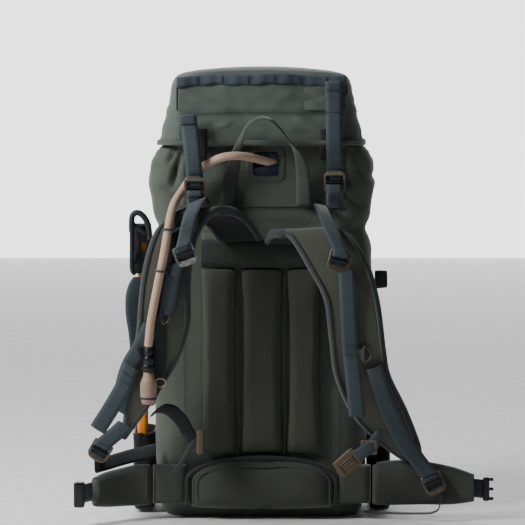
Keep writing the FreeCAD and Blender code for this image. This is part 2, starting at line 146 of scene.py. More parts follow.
def woven(name, colour, pitch=0.0011, sheen=0.25, wear=0.25, warmth=1.0):
    """Plain-weave pack cloth: crossed threads, dust in patches and a fine fuzz."""
    n = Nodes(name, 0.82, sheen=sheen, specular=0.25)
    coords = n.coords()
    xyz = n.add("ShaderNodeSeparateXYZ", {0: coords}).outputs
    warp = n.ripple(n.math("ADD", xyz[0], xyz[1]), pitch)
    weft = n.ripple(xyz[2], pitch)
    thread = n.centred(n.math("MULTIPLY", warp, weft), 0.5)
    patches = n.noise(coords, 9.0, 4.0)
    speckle = n.noise(coords, 420.0, 2.0)
    pale = (colour[0] * 1.55, colour[1] * 1.5 * warmth, colour[2] * 1.4, 1.0)
    base = n.mix(n.ramp(patches, 0.35, 0.72, 0.0, wear), shade(colour, 1.0), pale)
    base = n.mix(n.ramp(speckle, 0.3, 0.7, 0.0, 0.35), base, shade(colour, 0.62))
    base = n.mix(n.math("MULTIPLY", thread, 0.3), base, shade(colour, 1.45))
    n.colour(base)
    height = n.math("ADD", n.math("MULTIPLY", thread, 0.6), n.math("MULTIPLY", speckle, 0.8))
    n.bump(height, 0.0005, 0.5)
    return n.material


def ribbed(name, colour, rib=0.0024):
    """Webbing: ribs across its length and a slanted twill, from the piece's own UV in metres."""
    n = Nodes(name, 0.72, sheen=0.3, specular=0.3)
    uv = n.add("ShaderNodeUVMap").outputs[0]
    xyz = n.add("ShaderNodeSeparateXYZ", {0: uv}).outputs
    along = n.ripple(xyz[0], rib)
    twill = n.ripple(n.math("ADD", xyz[0], xyz[1]), rib * 0.6)
    thread = n.centred(n.math("ADD", along, n.math("MULTIPLY", twill, 0.5)), 0.33)
    coords = n.coords()
    speckle = n.noise(coords, 300.0, 2.0)
    patches = n.noise(coords, 14.0, 3.0)
    base = n.mix(n.ramp(thread, 0.1, 0.9, 0.0, 1.0), shade(colour, 0.55), shade(colour, 1.3))
    base = n.mix(n.ramp(patches, 0.4, 0.75, 0.0, 0.3), base, shade(colour, 1.7))
    base = n.mix(n.ramp(speckle, 0.35, 0.7, 0.0, 0.3), base, shade(colour, 0.5))
    n.colour(base)
    n.bump(n.math("ADD", thread, n.math("MULTIPLY", speckle, 0.5)), 0.0006, 0.6)
    return n.material


def moulded(name, colour, roughness, grain=900.0):
    """Moulded plastic or rubber with a fine grain and pale scuffs."""
    n = Nodes(name, roughness, specular=0.4)
    coords = n.coords()
    fine = n.noise(coords, grain, 2.0)
    scuffs = n.noise(coords, 60.0, 5.0, 0.7)
    base = n.mix(n.ramp(scuffs, 0.5, 0.75, 0.0, 0.15), shade(colour, 1.0), shade(colour, 2.2))
    n.colour(n.mix(n.ramp(fine, 0.3, 0.7, 0.0, 0.2), base, shade(colour, 0.7)))
    n.rough(n.ramp(scuffs, 0.3, 0.8, roughness - 0.1, roughness + 0.15))
    n.bump(fine, 0.00015, 0.4)
    return n.material


def worn_metal(name, coat, bare, worn=0.5, roughness=0.38):
    """A satin coating rubbed through to metal along edges and in scratches."""
    n = Nodes(name, roughness, metallic=0.85)
    scratches = n.noise(n.coords(), 160.0, 6.0, 0.75)
    edges = n.add("ShaderNodeNewGeometry").outputs["Pointiness"]
    rub = n.math("ADD", n.ramp(edges, 0.48, 0.56), n.ramp(scratches, 0.52, 0.62, 0.0, 0.6))
    rub = n.math("MULTIPLY", n.math("MINIMUM", rub, 1.0), worn)
    n.colour(n.mix(rub, shade(coat, 1.0), shade(bare, 1.0)))
    n.rough(n.ramp(scratches, 0.3, 0.7, roughness - 0.08, roughness + 0.14))
    n.bump(scratches, 0.0002, 0.25)
    return n.material


def smooth(name, colour, roughness):
    """A plain finish, a little darker in patches."""
    n = Nodes(name, roughness)
    patches = n.noise(n.coords(), 45.0, 4.0)
    n.colour(n.mix(n.ramp(patches, 0.35, 0.7, 0.0, 0.5), shade(colour, 1.0), shade(colour, 0.72)))
    n.rough(n.ramp(patches, 0.3, 0.7, roughness - 0.05, roughness + 0.1))
    return n.material


def glowing(name, strength):
    """An evenly bright surface for the backdrop."""
    n = Nodes(name, 0.9)
    n.shader.inputs["Emission Color"].default_value = (1, 1, 1, 1)
    n.shader.inputs["Emission Strength"].default_value = strength
    return n.material


OLIVE = (0.082, 0.098, 0.080)
WEB_BLUE = (0.046, 0.066, 0.078)
WEB_OLIVE = (0.050, 0.062, 0.056)
BINDING = (0.036, 0.045, 0.047)

M = {
    "cloth": woven("pack_cloth", OLIVE),
    "lid_cloth": woven("lid_cloth", (0.083, 0.104, 0.090)),
    # strap and pad cloth: olive darkened below the pack cloth as painted shade for the shadow that the straps
    # and pads sit in
    "strap_cloth_painted_shade": woven("strap_cloth_painted_shade", (0.070, 0.076, 0.060)),
    "pad_cloth_painted_shade": woven("pad_cloth_painted_shade", (0.056, 0.059, 0.046), wear=0.12),
    "lining": woven("lining", (0.05, 0.055, 0.05), sheen=0.1),
    "port_nylon": woven("port_nylon", (0.030, 0.034, 0.062), 0.0007, sheen=0.1, wear=0.1),
    "elastic": woven("elastic_cloth", (0.012, 0.012, 0.014), 0.0009, wear=0.05),
    "mesh_under": woven("strap_mesh", (0.012, 0.013, 0.013), 0.003, wear=0.05),
    "lumbar_mesh": woven("lumbar_mesh", (0.050, 0.054, 0.046), 0.003, wear=0.2),
    "web": ribbed("webbing_blue_grey", WEB_BLUE),
    "web_olive": ribbed("webbing_olive", WEB_OLIVE),
    "web_dark": ribbed("webbing_dark", (0.022, 0.026, 0.028)),
    "yoke": ribbed("yoke_webbing", (0.024, 0.036, 0.028), 0.0042),
    "binding": ribbed("binding_tape", BINDING, 0.0016),
    "hem": ribbed("hem_tape", (0.085, 0.105, 0.090), 0.0016),
    "thread": smooth("thread", (0.10, 0.10, 0.075), 0.7),
    "dark_thread": smooth("dark_thread", (0.015, 0.016, 0.014), 0.7),
    "bronze": worn_metal("bronze_buckle", (0.045, 0.038, 0.030), (0.42, 0.36, 0.27)),
    "silver": worn_metal("silver_buckle", (0.16, 0.16, 0.165), (0.62, 0.62, 0.63), 0.9, 0.3),
    "black_bar": worn_metal("black_bar", (0.012, 0.012, 0.012), (0.16, 0.15, 0.14), 0.25),
    "olive_wire": worn_metal("olive_wire", (0.055, 0.052, 0.034), (0.2, 0.18, 0.13), 0.4, 0.45),
    "black": moulded("black_plastic", (0.012, 0.012, 0.016), 0.35),
    "tan_clip": moulded("tan_clip", (0.105, 0.080, 0.047), 0.5),
    "hose": woven("hose_sleeve", (0.50, 0.35, 0.26), 0.0016, sheen=0.2, wear=0.12, warmth=0.95),
    "bite": moulded("bite_rubber", (0.35, 0.235, 0.175), 0.55, 500.0),
    "tip": moulded("bite_tip", (0.44, 0.20, 0.13), 0.4, 500.0),
    "orange": moulded("orange_haft", (0.95, 0.27, 0.012), 0.38),
    "steel": worn_metal("blade_steel", (0.2, 0.2, 0.21), (0.5, 0.5, 0.5), 0.7, 0.28),
    "sheath": moulded("sheath_dark", (0.022, 0.024, 0.028), 0.5),
    "sheet": moulded("frame_sheet", (0.03, 0.03, 0.03), 0.45),
    "alu": worn_metal("aluminium_stay", (0.55, 0.55, 0.56), (0.8, 0.8, 0.8), 0.5),
    "film": smooth("bladder_film", (0.10, 0.20, 0.30), 0.15),
    "floor": smooth("floor", (0.88, 0.88, 0.88), 0.6),
    "backdrop": glowing("backdrop", 2.4),
}

# ---- mesh helpers ---------------------------------------------------------------------------


def link_object(name, data):
    """A new object in the scene from its data."""
    obj = bpy.data.objects.new(name, data)
    bpy.context.scene.collection.objects.link(obj)
    return obj


def new_object(name, verts, faces, material, uvs=None):
    """A smooth mesh in the scene, with UVs by point if given."""
    mesh = bpy.data.meshes.new(name)
    mesh.from_pydata([tuple(v) for v in verts], [], faces)
    if uvs:
        layer = mesh.uv_layers.new(name="UVMap")
        for loop in mesh.loops:
            layer.data[loop.index].uv = uvs[loop.vertex_index]
    mesh.materials.append(M[material])
    mesh.shade_smooth()
    mesh.update()
    return link_object(name, mesh)


def turns(steps):
    """Angles once round a circle, the first again at the end."""
    return [2 * math.pi * k / steps for k in range(steps + 1)]


def catmull(points, steps):
    """A smooth line of points through the given ones."""
    points = [Vector(p) for p in points]
    out = []
    for i in range(len(points) - 1):
        p0 = points[max(i - 1, 0)]
        p1, p2 = points[i], points[i + 1]
        p3 = points[min(i + 2, len(points) - 1)]
        for k in range(steps):
            t = k / steps
            out.append(0.5 * ((2 * p1) + (p2 - p0) * t + (2 * p0 - 5 * p1 + 4 * p2 - p3) * t * t
                              + (3 * p1 - p0 - 3 * p2 + p3) * t ** 3))
    out.append(points[-1])
    return out


def section_grid(name, rings, material, uvs=None, closed=True, caps=True):
    """A skin over equal rings of points, closed at both ends if asked."""
    count = len(rings[0])
    verts = [p for ring in rings for p in ring]
    faces = []
    for i in range(len(rings) - 1):
        for k in range(count if closed else count - 1):
            a, b = i * count + k, i * count + (k + 1) % count
            faces.append((a, b, b + count, a + count))
    if caps and closed:
        faces.append(tuple(reversed(range(count))))
        faces.append(tuple(range(len(verts) - count, len(verts))))
    obj = new_object(name, verts, faces, material, uvs)
    fix_normals(obj)
    return obj


def edit_mesh(obj, change):
    """Run a change on the object's mesh while it is open for editing."""
    work = bmesh.new()
    work.from_mesh(obj.data)
    change(work)
    work.to_mesh(obj.data)
    work.free()


def fix_normals(obj):
    edit_mesh(obj, lambda work: bmesh.ops.recalc_face_normals(work, faces=work.faces))


def close_seam(obj):
    """Join a cushion's front and back where their edges meet."""
    edit_mesh(obj, lambda work: bmesh.ops.remove_doubles(work, verts=work.verts, dist=0.0002))
    fix_normals(obj)
    obj.data.shade_smooth()


def edge_frames(a_line, b_line):
    """Both edge points and the outward normal, step by step along a strap."""
    frames = []
    for i, (a, b) in enumerate(zip(a_line, b_line)):
        j, k = max(i - 1, 0), min(i + 1, len(a_line) - 1)
        along = (a_line[k] + b_line[k]) - (a_line[j] + b_line[j])
        frames.append((a, b, along.cross(b - a).normalized()))
    return frames


def distances(points):
    """How far along a line each of its points is."""
    out = [0.0]
    for a, b in zip(points, points[1:]):
        out.append(out[-1] + (b - a).length)
    return out


def ribbon(name, left, right, thickness, material, steps, crown=0.0):
    """Flat webbing between two edge lines, with UV in metres along and across."""
    a_line, b_line = catmull(left, steps), catmull(right, steps)
    lanes = 8 if crown else 4
    rings, uvs = [], []
    runs = distances([(a + b) / 2 for a, b in zip(a_line, b_line)])
    for run, (a, b, normal) in zip(runs, edge_frames(a_line, b_line)):
        front, back = [], []
        for s in range(lanes + 1):
            t = s / lanes
            half = thickness / 2 * (THIN_EDGE if s in (0, lanes) else 1.0)
            bulge = crown * (1 - (2 * t - 1) ** 4)
            front.append(a.lerp(b, t) + normal * (half + bulge))
            back.append(a.lerp(b, t) - normal * half)
        rings.append(front + back[::-1])
        lane_uvs = [(run, s / lanes * (b - a).length) for s in range(lanes + 1)]
        uvs.extend(lane_uvs + lane_uvs[::-1])
    return section_grid(name, rings, material, uvs)


def strip(name, path, material, width, thickness, across, steps):
    """Flat webbing along a middle line, in metres, its width along `across`."""
    half = Vector(across).normalized() * (width / 2)
    path = [Vector(p) for p in path]
    return ribbon(name, [p - half for p in path], [p + half for p in path], thickness, material, steps)


def mm(points):
    """Points given in millimetres, in metres."""
    return [Vector(p) * MM for p in points]


def tube_along(name, points, radius, material, sides=8):
    """A round tube through sampled points."""
    points = [Vector(p) for p in points]
    rings = []
    side = (points[1] - points[0]).normalized().orthogonal().normalized()
    for i, p in enumerate(points):
        along = (points[min(i + 1, len(points) - 1)] - points[max(i - 1, 0)]).normalized()
        side = (side - along * side.dot(along)).normalized()
        up = along.cross(side)
        rings.append([p + (side * math.cos(t) + up * math.sin(t)) * radius for t in turns(sides)[:-1]])
    return section_grid(name, rings, material)


def stitches(name, points, material, pitch=0.0042, length=0.0026, radius=0.00035, lift=(0, 0, 0)):
    """A row of thread stitches along a line."""
    points = [Vector(p) + Vector(lift) for p in points]
    verts, faces, run, goal = [], [], 0.0, 0.0
    for a, b in zip(points, points[1:]):
        step = (b - a).length
        while step > 1e-9 and goal <= run + step:
            at = a.lerp(b, (goal - run) / step)
            along = (b - a).normalized()
            side = along.orthogonal().normalized() * radius
            up = along.cross(side).normalized() * radius
            start = len(verts)
            for end in (-0.5, 0.5):
                centre = at + along * (length * end)
                verts.extend([centre + side, centre + up, centre - side, centre - up])
            faces.extend([(start + k, start + (k + 1) % 4, start + 4 + (k + 1) % 4, start + 4 + k)
                          for k in range(4)])
            faces.append((start + 3, start + 2, start + 1, start))
            faces.append((start + 4, start + 5, start + 6, start + 7))
            goal += pitch
        run += step
    return new_object(name, verts, faces, material)


def bevelled_box(name, low, high, material, radius, segments):
    """A box between two corners in metres, its edges rounded."""
    work = bmesh.new()
    bmesh.ops.create_cube(work, size=1.0)
    low, high = Vector(low), Vector(high)
    for v in work.verts:
        v.co = Vector(((v.co[k] + 0.5) * (high[k] - low[k]) + low[k]) for k in range(3))
    bmesh.ops.bevel(work, geom=list(work.edges), offset=radius, segments=segments, profile=0.6,
                    affect="EDGES", clamp_overlap=True)
    mesh = bpy.data.meshes.new(name)
    work.to_mesh(mesh)
    work.free()
    mesh.materials.append(M[material])
    mesh.shade_smooth()
    return link_object(name, mesh)


def lathe(name, profile, centre, material, sides=40):
    """A turned piece on an upright axis, from (radius, height) in millimetres."""
    rings = []
    for r, z in profile:
        rings.append([Vector((centre[0] + r * MM * math.cos(t), centre[1] + r * MM * math.sin(t), z * MM))
                      for t in turns(sides)[:-1]])
    return section_grid(name, rings, material)


def put(obj, body, slot, *nodes):
    """Ride on a body and stand for the named frame nodes; None names no node. The slot is not used."""
    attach(obj, body)
    nodes = [node for node in nodes if node]
    if nodes:
        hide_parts(*nodes)
    return obj


def sew(name, path, body="pack", node=None, material="web", width=WEB, thickness=WEB_T, across=(1, 0, 0),
        steps=10):
    """Webbing along a path in millimetres, riding on a body and standing for a node if it has one."""
    piece = strip(name, mm(path), material, width, thickness, across, steps)
    return put(piece, body, "webbing", node)


def block(name, low, high, body, node=None, material="black", slot="black_plastic", radius=0.0012,
          segments=3):
    """A rounded box between two corners in millimetres, riding on a body."""
    piece = bevelled_box(name, Vector(low) * MM, Vector(high) * MM, material, radius, segments)
    return put(piece, body, slot, node)


def wire(name, path, radius=0.003, steps=8, sides=10):
    """A round part of the sheath along a smooth path in millimetres."""
    piece = tube_along(name, catmull(mm(path), steps), radius, "sheath", sides)
    return put(piece, "pack", "elastic_fabric")


def spindle(name, half, radius, ease, axis, place):
    """A short round bar with eased ends, in millimetres, laid over by a turn about an axis."""
    profile = [(0.5, half), (radius - ease, half), (radius, half - 0.6), (radius, 0.6 - half),
               (radius - ease, -half), (0.5, -half)]
    bar = lathe(name, profile, (0, 0), "black", 24)
    bar.data.transform(Matrix.Translation(place) @ Matrix.Rotation(math.pi / 2, 4, axis))
    return bar


def frame_axes(origin, across, down):
    """Local axes on a strap: X across, Z up the strap and -Y outward."""
    x_dir = Vector(across).normalized()
    z_dir = -Vector(down)
    z_dir = (z_dir - x_dir * z_dir.dot(x_dir)).normalized()
    y_dir = z_dir.cross(x_dir)
    matrix = Matrix((x_dir, y_dir, z_dir)).transposed().to_4x4()
    matrix.translation = Vector(origin) * MM
    return matrix


# ---- camera, light and floor ------------------------------------------------------------------


def aim_from(place, target):
    """The rotation that looks from a place at a target."""
    return (Vector(target) - Vector(place)).to_track_quat("-Z", "Y").to_euler()


def make_light(name, place, size, power):
    """A square area light aimed at the middle of the pack."""
    light_data = bpy.data.lights.new(name, "AREA")
    light_data.size = size
    light_data.energy = power
    light = link_object(name, light_data)
    light.location = place
    light.rotation_euler = aim_from(place, (0, 0, 0.5))


def make_stage():
    """Camera, dim white world, two soft lights, floor and backdrop."""
    camera_data = bpy.data.cameras.new("camera")
    camera = link_object("camera", camera_data)
    aim = Vector((0.001, -0.11, 0.386))
    distance, elevation, long_side = 4.0, math.radians(3.5), 0.7875
    camera.location = aim + Vector((0, -math.cos(elevation), math.sin(elevation))) * distance
    camera.rotation_euler = aim_from(camera.location, aim)
    camera_data.lens = 36 * distance / long_side
    bpy.context.scene.camera = camera
    world = bpy.data.worlds.new("studio")
    world.use_nodes = True
    background = world.node_tree.nodes["Background"]
    background.inputs[0].default_value = (1, 1, 1, 1)
    background.inputs[1].default_value = 0.05
    bpy.context.scene.world = world
    make_light("key", (-1.35, -0.75, 1.35), 0.6, 38)
    make_light("top", (-0.4, 0.7, 2.3), 1.2, 13)
    low = -0.0005
    backdrop = new_object("backdrop", [(-8, 6.5, low), (8, 6.5, low), (8, 6.5, 7), (-8, 6.5, 7)],
                          [(3, 2, 1, 0)], "backdrop")
    floor = new_object("floor", [(-8, -7, low), (8, -7, low), (8, 7, low), (-8, 7, low)], [(0, 1, 2, 3)],
                       "floor")


# ---- drinking hose ----------------------------------------------------------------------------

HOSE_ROUTE = mm([
    (20, -98, 534), (2, -109, 539), (-17, -122, 544), (-37, -132, 547), (-58, -135, 545),
    (-77, -129, 537), (-93, -122, 526), (-109, -122, 509), (-121, -132, 491), (-128, -152, 480),
    (-132, -172, 470), (-136, -188, 451), (-140, -197, 424), (-145, -201, 395), (-152, -203, 362),
    (-159, -201, 326), (-165, -195, 293), (-167, -189, 268),
])


def make_hose():
    """The drinking hose in its cloth sleeve, as a curve along its route."""
    radius = 0.00625
    curve = bpy.data.curves.new("hydration_hose", "CURVE")
    curve.dimensions = "3D"
    curve.bevel_depth = radius
    curve.bevel_resolution = 6
    curve.use_fill_caps = True
    curve.resolution_u = 12
    spline = curve.splines.new("NURBS")
    spline.points.add(len(HOSE_ROUTE) - 1)
    for point, place in zip(spline.points, HOSE_ROUTE):
        point.co = (*place, 1)
    spline.order_u = 3
    spline.use_endpoint_u = True
    curve.materials.append(M["hose"])
    return put(link_object("hydration_hose_sleeved", curve), "pack", "hose_cover", "hydration_hose")


VALVE = (-0.167, -0.1885)  # X and Y of the upright line that the valve hangs on


def make_valve():
    """Black shut-off valve, its lever, and the tan bite valve under its cover."""
    x, y = VALVE
    body = lathe("valve_body", [(0.5, 266.3), (6.2, 266.3), (6.9, 265), (7.6, 261), (7.4, 257), (5.4, 254.5),
                                (5.4, 252), (8.0, 251), (8.4, 249), (8.4, 241), (7.8, 240), (9.8, 239.6),
                                (10.4, 238.6), (10.4, 232.2), (9.8, 231.2), (0.5, 231.2)], VALVE, "black")
    put(body, "pack", "black_plastic", "shutoff_valve")
    knob = spindle("valve_knob", 6, 4.6, 0.4, "X", (x, y - 0.002, 0.2585))
    put(knob, "pack", "black_plastic")
    lever = block("valve_lever_fin", (-183.8, -190.9, 257), (-176.4, -186.1, 265.8), "lever",
                  "valve_lever")
    hub = spindle("valve_lever_hub", 3.9, 3.4, 0.5, "Y", (x - 0.0131, y, 0.2565))
    put(hub, "lever", "black_plastic")
    bite = lathe("bite_valve_tip", [(0.5, 230.8), (5.4, 230.8), (5.4, 214), (5.8, 206), (5.8, 190),
                                    (5.3, 185.5), (4.2, 184.2), (0.5, 184.2)], VALVE, "tip")
    put(bite, "pack", "bite_rubber", "bite_valve")
    cover = lathe("bite_valve_cover", [(6.3, 229), (7.4, 228.8), (7.8, 225), (9.0, 220.5), (11.6, 215.5),
                                       (11.9, 214.6), (11.3, 214), (12.2, 213), (12.5, 210), (12.5, 199),
                                       (12.0, 197.6), (12.4, 196.6), (12.3, 194), (11.2, 188), (9.8, 182),
                                       (8.2, 181.2), (8.2, 206), (6.3, 214)], VALVE, "bite")
    put(cover, "cover", "bite_rubber", "bite_cover")
    band = lathe("bite_cover_slot", [(10.6, 188.4), (11.7, 188.9), (12.15, 190.2), (12.3, 191.6),
                                     (11.4, 192.2)], VALVE, "sheath")
    put(band, "cover", "bite_rubber")
    centre = Vector((x + 0.0175, y, 0.213))
    loop = [centre + Vector((math.cos(t) * 0.0082, 0, math.sin(t) * 0.0062)) for t in turns(36)]
    ring = tube_along("cover_ring", loop, 0.0011, "bite")
    put(ring, "cover", "bite_rubber")
    return [body, knob, lever, hub, bite, cover, band, ring]


# ---- the bag ------------------------------------------------------------------------------------

BAG_PROFILE = [            # height, half width, back Y, front Y, in millimetres
    (0, 146, -92, 98), (12, 153, -96, 105), (45, 158, -100, 110), (140, 161, -100, 112),
    (250, 165, -100, 112), (340, 168, -100, 112), (400, 166, -100, 112), (436, 160, -100, 110),
    (470, 165, -100, 108), (505, 169, -100, 108), (535, 168, -100, 106), (549, 163, -100, 105),
    (557, 157, -100, 104), (564, 147, -100, 103), (588, 139, -100, 100),
]


def lookup(table, z):
    """Smooth values between the rows of a profile table."""
    for low, high in zip(table, table[1:]):
        if z <= high[0]:
            t = (z - low[0]) / (high[0] - low[0])
            t = t * t * (3 - 2 * t)
            return [a + (b - a) * t for a, b in zip(low[1:], high[1:])]
    return list(table[-1][1:])


def rounded_plan(half, back, front, corner, count):
    """Evenly spaced points round a rectangle with rounded corners, from the middle of the back."""
    cx, cy = half - corner, (front - back) / 2 - corner
    middle = (front + back) / 2
    arc = math.pi / 2 * corner
    sides = [(cx, None), (arc, 0), (2 * cy, None), (arc, 1), (2 * cx, None), (arc, 2), (2 * cy, None),
             (arc, 3), (cx, None)]
    total = sum(length for length, _ in sides)
    starts = [Vector((0, -cy - corner)), None, Vector((cx + corner, -cy)), None, Vector((cx, cy + corner)),
              None, Vector((-cx - corner, cy)), None, Vector((-cx, -cy - corner))]
    heads = [Vector((1, 0)), None, Vector((0, 1)), None, Vector((-1, 0)), None, Vector((0, -1)), None,
             Vector((1, 0))]
    centres = [Vector((cx, -cy)), Vector((cx, cy)), Vector((-cx, cy)), Vector((-cx, -cy))]
    out = []
    for i in range(count):
        s = total * i / count
        for k, (length, turn) in enumerate(sides):
            if s <= length or k == len(sides) - 1:
                break
            s -= length
        if turn is None:
            p = starts[k] + heads[k] * s
            normal = Vector((heads[k].y, -heads[k].x))
        else:
            angle = -math.pi / 2 + turn * math.pi / 2 + s / corner
            normal = Vector((math.cos(angle), math.sin(angle)))
            p = centres[turn] + normal * corner
        out.append((Vector((p.x, p.y + middle)), normal))
    return out


def bump_at(value, centre, width):
    """A smooth hump of height 1 at the centre."""
    d = abs(value - centre) / width
    return math.exp(-d * d * 2.5)


def cloth_noise(p, scale, seed):
    """Smooth noise from about -1 to 1, its lumps 1 / scale metres wide."""
    return noise.noise(Vector(p) * scale + Vector((seed, seed * 1.7, seed * 0.3)))


def crease(x, z, x0, z0, x1, z1, width):
    """Depth 0 to 1 of a slanted crease between two points, fading at its ends."""
    run_x, run_z = x1 - x0, z1 - z0
    length = math.hypot(run_x, run_z)
    along = ((x - x0) * run_x + (z - z0) * run_z) / length
    aside = abs((x - x0) * run_z - (z - z0) * run_x) / length
    fade = min(1.0, max(0.0, along / length * 5 + 0.4), max(0.0, (1 - along / length) * 4 + 0.3))
    return math.exp(-(aside / width) ** 2 * 2.2) * fade


BACK_CREASES = (           # X and Z of both ends, depth, half width, in metres
    (-0.128, 0.562, -0.141, 0.533, 0.0075, 0.0055), (-0.1205, 0.558, -0.135, 0.498, 0.0085, 0.0060),
    (-0.112, 0.556, -0.108, 0.515, 0.0035, 0.0060), (0.121, 0.560, 0.131, 0.500, 0.0070, 0.0060),
    (0.137, 0.556, 0.150, 0.515, 0.0060, 0.0055), (0.118, 0.492, 0.150, 0.468, 0.0045, 0.0060),
    (-0.150, 0.500, -0.118, 0.478, 0.0040, 0.0070), (-0.100, 0.440, -0.020, 0.452, 0.0026, 0.0070),
    (0.010, 0.446, 0.090, 0.438, 0.0026, 0.0070), (-0.150, 0.300, -0.105, 0.330, 0.0022, 0.0110),
    (-0.150, 0.185, -0.110, 0.150, 0.0024, 0.0110), (0.105, 0.200, 0.145, 0.235, 0.0022, 0.0110),
)


def bag_fold(p, normal):
    """How far the loaded cloth stands out or sinks, in metres."""
    x, y, z = p
    out = 0.0034 * cloth_noise((x, y, z * 0.6), 13, 3.1) + 0.0013 * cloth_noise((x, y, z), 42, 1.3)
    side = abs(normal.x)
    upper = bump_at(z, 0.505, 0.075)
    # gathers running down from under the lid
    for centre, depth in ((-0.062, 0.010), (-0.012, 0.007), (0.045, 0.009), (0.085, 0.006)):
        groove = bump_at(y, centre + 0.06 * (0.56 - z), 0.010)
        out -= depth * side * groove * bump_at(z, 0.53, 0.055)
    out += 0.006 * side * upper * math.sin(y * 52)
    # the pinch where the side straps pull in, and a hollow above it on the right
    out -= 0.004 * side * bump_at(z, 0.437, 0.016)
    out -= 0.004 * max(0.0, normal.x) * bump_at(z, 0.513, 0.010)
    back = min(1.0, max(0.0, -normal.y * 1.6 - 0.3))
    out *= 1 - 0.5 * back
    for x0, z0, x1, z1, depth, width in BACK_CREASES:
        out -= depth * min(1.0, back * 3) * crease(x, z, x0, z0, x1, z1, width)
    out += 0.0030 * back * bump_at(z, 0.432, 0.018) * math.sin(x * 70 + 1.2)
    if normal.y > 0.5:
        out += 0.004 * bump_at(z, 0.40, 0.09) * math.sin(x * 23 + z * 9)
    # behind the pads the cloth may stand out, but hardly sink
    if back > 0.3 and abs(x) < 0.122 and z < 0.51:
        soft = 0.0011
        out = soft * math.log1p(math.exp((out + 0.0006) / soft)) - 0.0006
    fade = min(1.0, z / 0.05)
    return out * fade


def make_bag():
    """The bag's cloth with its lining, open where the hose comes out, and its two back seams."""
    count, rows, corner = 220, 190, 42
    girth = 1.1                # metres round the bag, for the UVs
    rings, uvs = [], []
    top = BAG_PROFILE[-1][0]
    for row in range(rows + 1):
        z = top * row / rows
        ring = []
        for k, (p, normal) in enumerate(rounded_plan(*lookup(BAG_PROFILE, z), corner, count)):
            at = Vector((p.x * MM, p.y * MM, z * MM))
            ring.append(at + Vector((normal.x, normal.y, 0)) * bag_fold(at, normal))
            uvs.append((k / count * girth, z * MM))
        rings.append(ring)
    inner = []
    for ring in rings[::-1]:
        z = max(ring[0].z, 0.003)
        inner.append([Vector((p.x * 0.982, 0.004 + (p.y - 0.004) * 0.972, z)) for p in ring])
    obj = section_grid("bag_shell", rings + inner, "cloth", uvs + [(0, 0)] * (len(inner) * count))
    obj.data.materials.append(M["lining"])
    inside = (rows + 1) * count
    for poly in obj.data.polygons:
        if min(poly.vertices) >= inside:
            poly.material_index = 1
    cut_port(obj)
    put(obj, "pack", "olive_fabric", "bag_back_panel", "bag_front_panel", "bag_left_panel",
        "bag_right_panel", "bag_bottom_panel")
    for n, x in enumerate((-0.117, 0.117)):
        line = [(x, bag_back_face(x, z) - 0.0012, z) for z in ((20 + 540 * i / 39) * MM for i in range(40))]
        put(stitches(f"bag_side_seam_{n}", line, "dark_thread"), "pack", "olive_fabric")


PORT = (-16.5, 28.5, 513.0, 555.0)     # left, right, low, high, in millimetres


def cut_port(obj):
    """Open the bag's back where the hose comes out."""
    x0, x1, z0, z1 = (v * MM for v in PORT)
    edge, deepest = 0.001, -0.085

    def open_back(work):
        doomed = []
        for face in work.faces:
            x, y, z = face.calc_center_median()
            if y < deepest and x0 + edge < x < x1 - edge and z0 + edge < z < z1 - edge:
                doomed.append(face)
        bmesh.ops.delete(work, geom=doomed, context="FACES")

    edit_mesh(obj, open_back)


def make_port_folds():
    """The coated flap's two folds, which the hose passes between."""
    low = ((-16, -98, 514), (-2, -98.5, 514), (12, -98.5, 514), (28, -98, 514))
    low_lip = ((-16, -100, 527), (-2, -102.5, 528.5), (12, -108.5, 531.5), (28, -102, 537))
    high_lip = ((9, -101, 547), (19, -106.5, 541.5), (28, -102.5, 537.2))
    high = ((9, -98, 554), (19, -98.5, 554), (28, -98, 554))
    for name, a, b in (("port_fold_low", low, low_lip), ("port_fold_high", high_lip, high)):
        put(ribbon(name, mm(a), mm(b), 0.0009, "port_nylon", steps=8), "pack", "port_lining")


def port_loop(grow, radius, y):
    """A closed loop round the hose port, larger than it by `grow`."""
    x0, x1, z0, z1 = (v * MM for v in PORT)
    corners = rounded_rectangle(x0 - grow, x1 + grow, z0 - grow, z1 + grow, radius, 8)
    return [Vector((x, y, z)) for x, z in corners + corners[:1]]


def make_port():
    """The hose port: a facing with a bound edge, stitched round, and the navy flap inside."""
    inner = port_loop(-0.002, 0.006, -0.1018)
    facing = ribbon("port_facing", port_loop(0.007, 0.011, -0.1010), inner, 0.0012, "cloth", steps=1)
    put(facing, "pack", "olive_fabric")
    put(tube_along("port_edge", inner, 0.0011, "hem"), "pack", "webbing")
    row = stitches("port_stitches", port_loop(0.004, 0.009, -0.1022), "thread", 0.0034, 0.0022)
    put(row, "pack", "olive_fabric")
    x0, x1, z0, z1 = (v * MM for v in PORT)
    sheet = []
    for i in range(25):
        t = i / 24
        front = []
        for k in range(25):
            u = k / 24
            slant = t - 0.42 - 0.18 * u
            fold = 0.0055 * (1 / (1 + math.exp(-slant * 40))) + 0.0015 * math.sin(u * 9 + t * 5)
            front.append(Vector((x0 - 0.003 + (x1 - x0 + 0.006) * u, -0.0925 - fold * 0.75,
                                 z0 - 0.006 + (z1 - z0 + 0.010) * t)))
        sheet.append(front + [p + Vector((0, 0.0012, 0)) for p in front[::-1]])
    flap = section_grid("port_flap_folds", sheet, "port_nylon")
    put(flap, "pack", "port_lining", "port_flap")


# ---- the lid ------------------------------------------------------------------------------------

LID_PROFILE = [            # height, half width, back Y, front Y, in millimetres
    (562, 155, -108, 122), (580, 151, -107, 119), (611, 144, -103, 114), (628, 139.5, -101, 112),
    (648, 136, -99, 108), (658, 133.5, -97.5, 105), (665, 130.5, -95, 101), (670, 126, -90, 95),
    (673.5, 118, -82, 87), (675.5, 104, -68, 72), (676.5, 74, -40, 46), (677, 8, 0, 6),
]


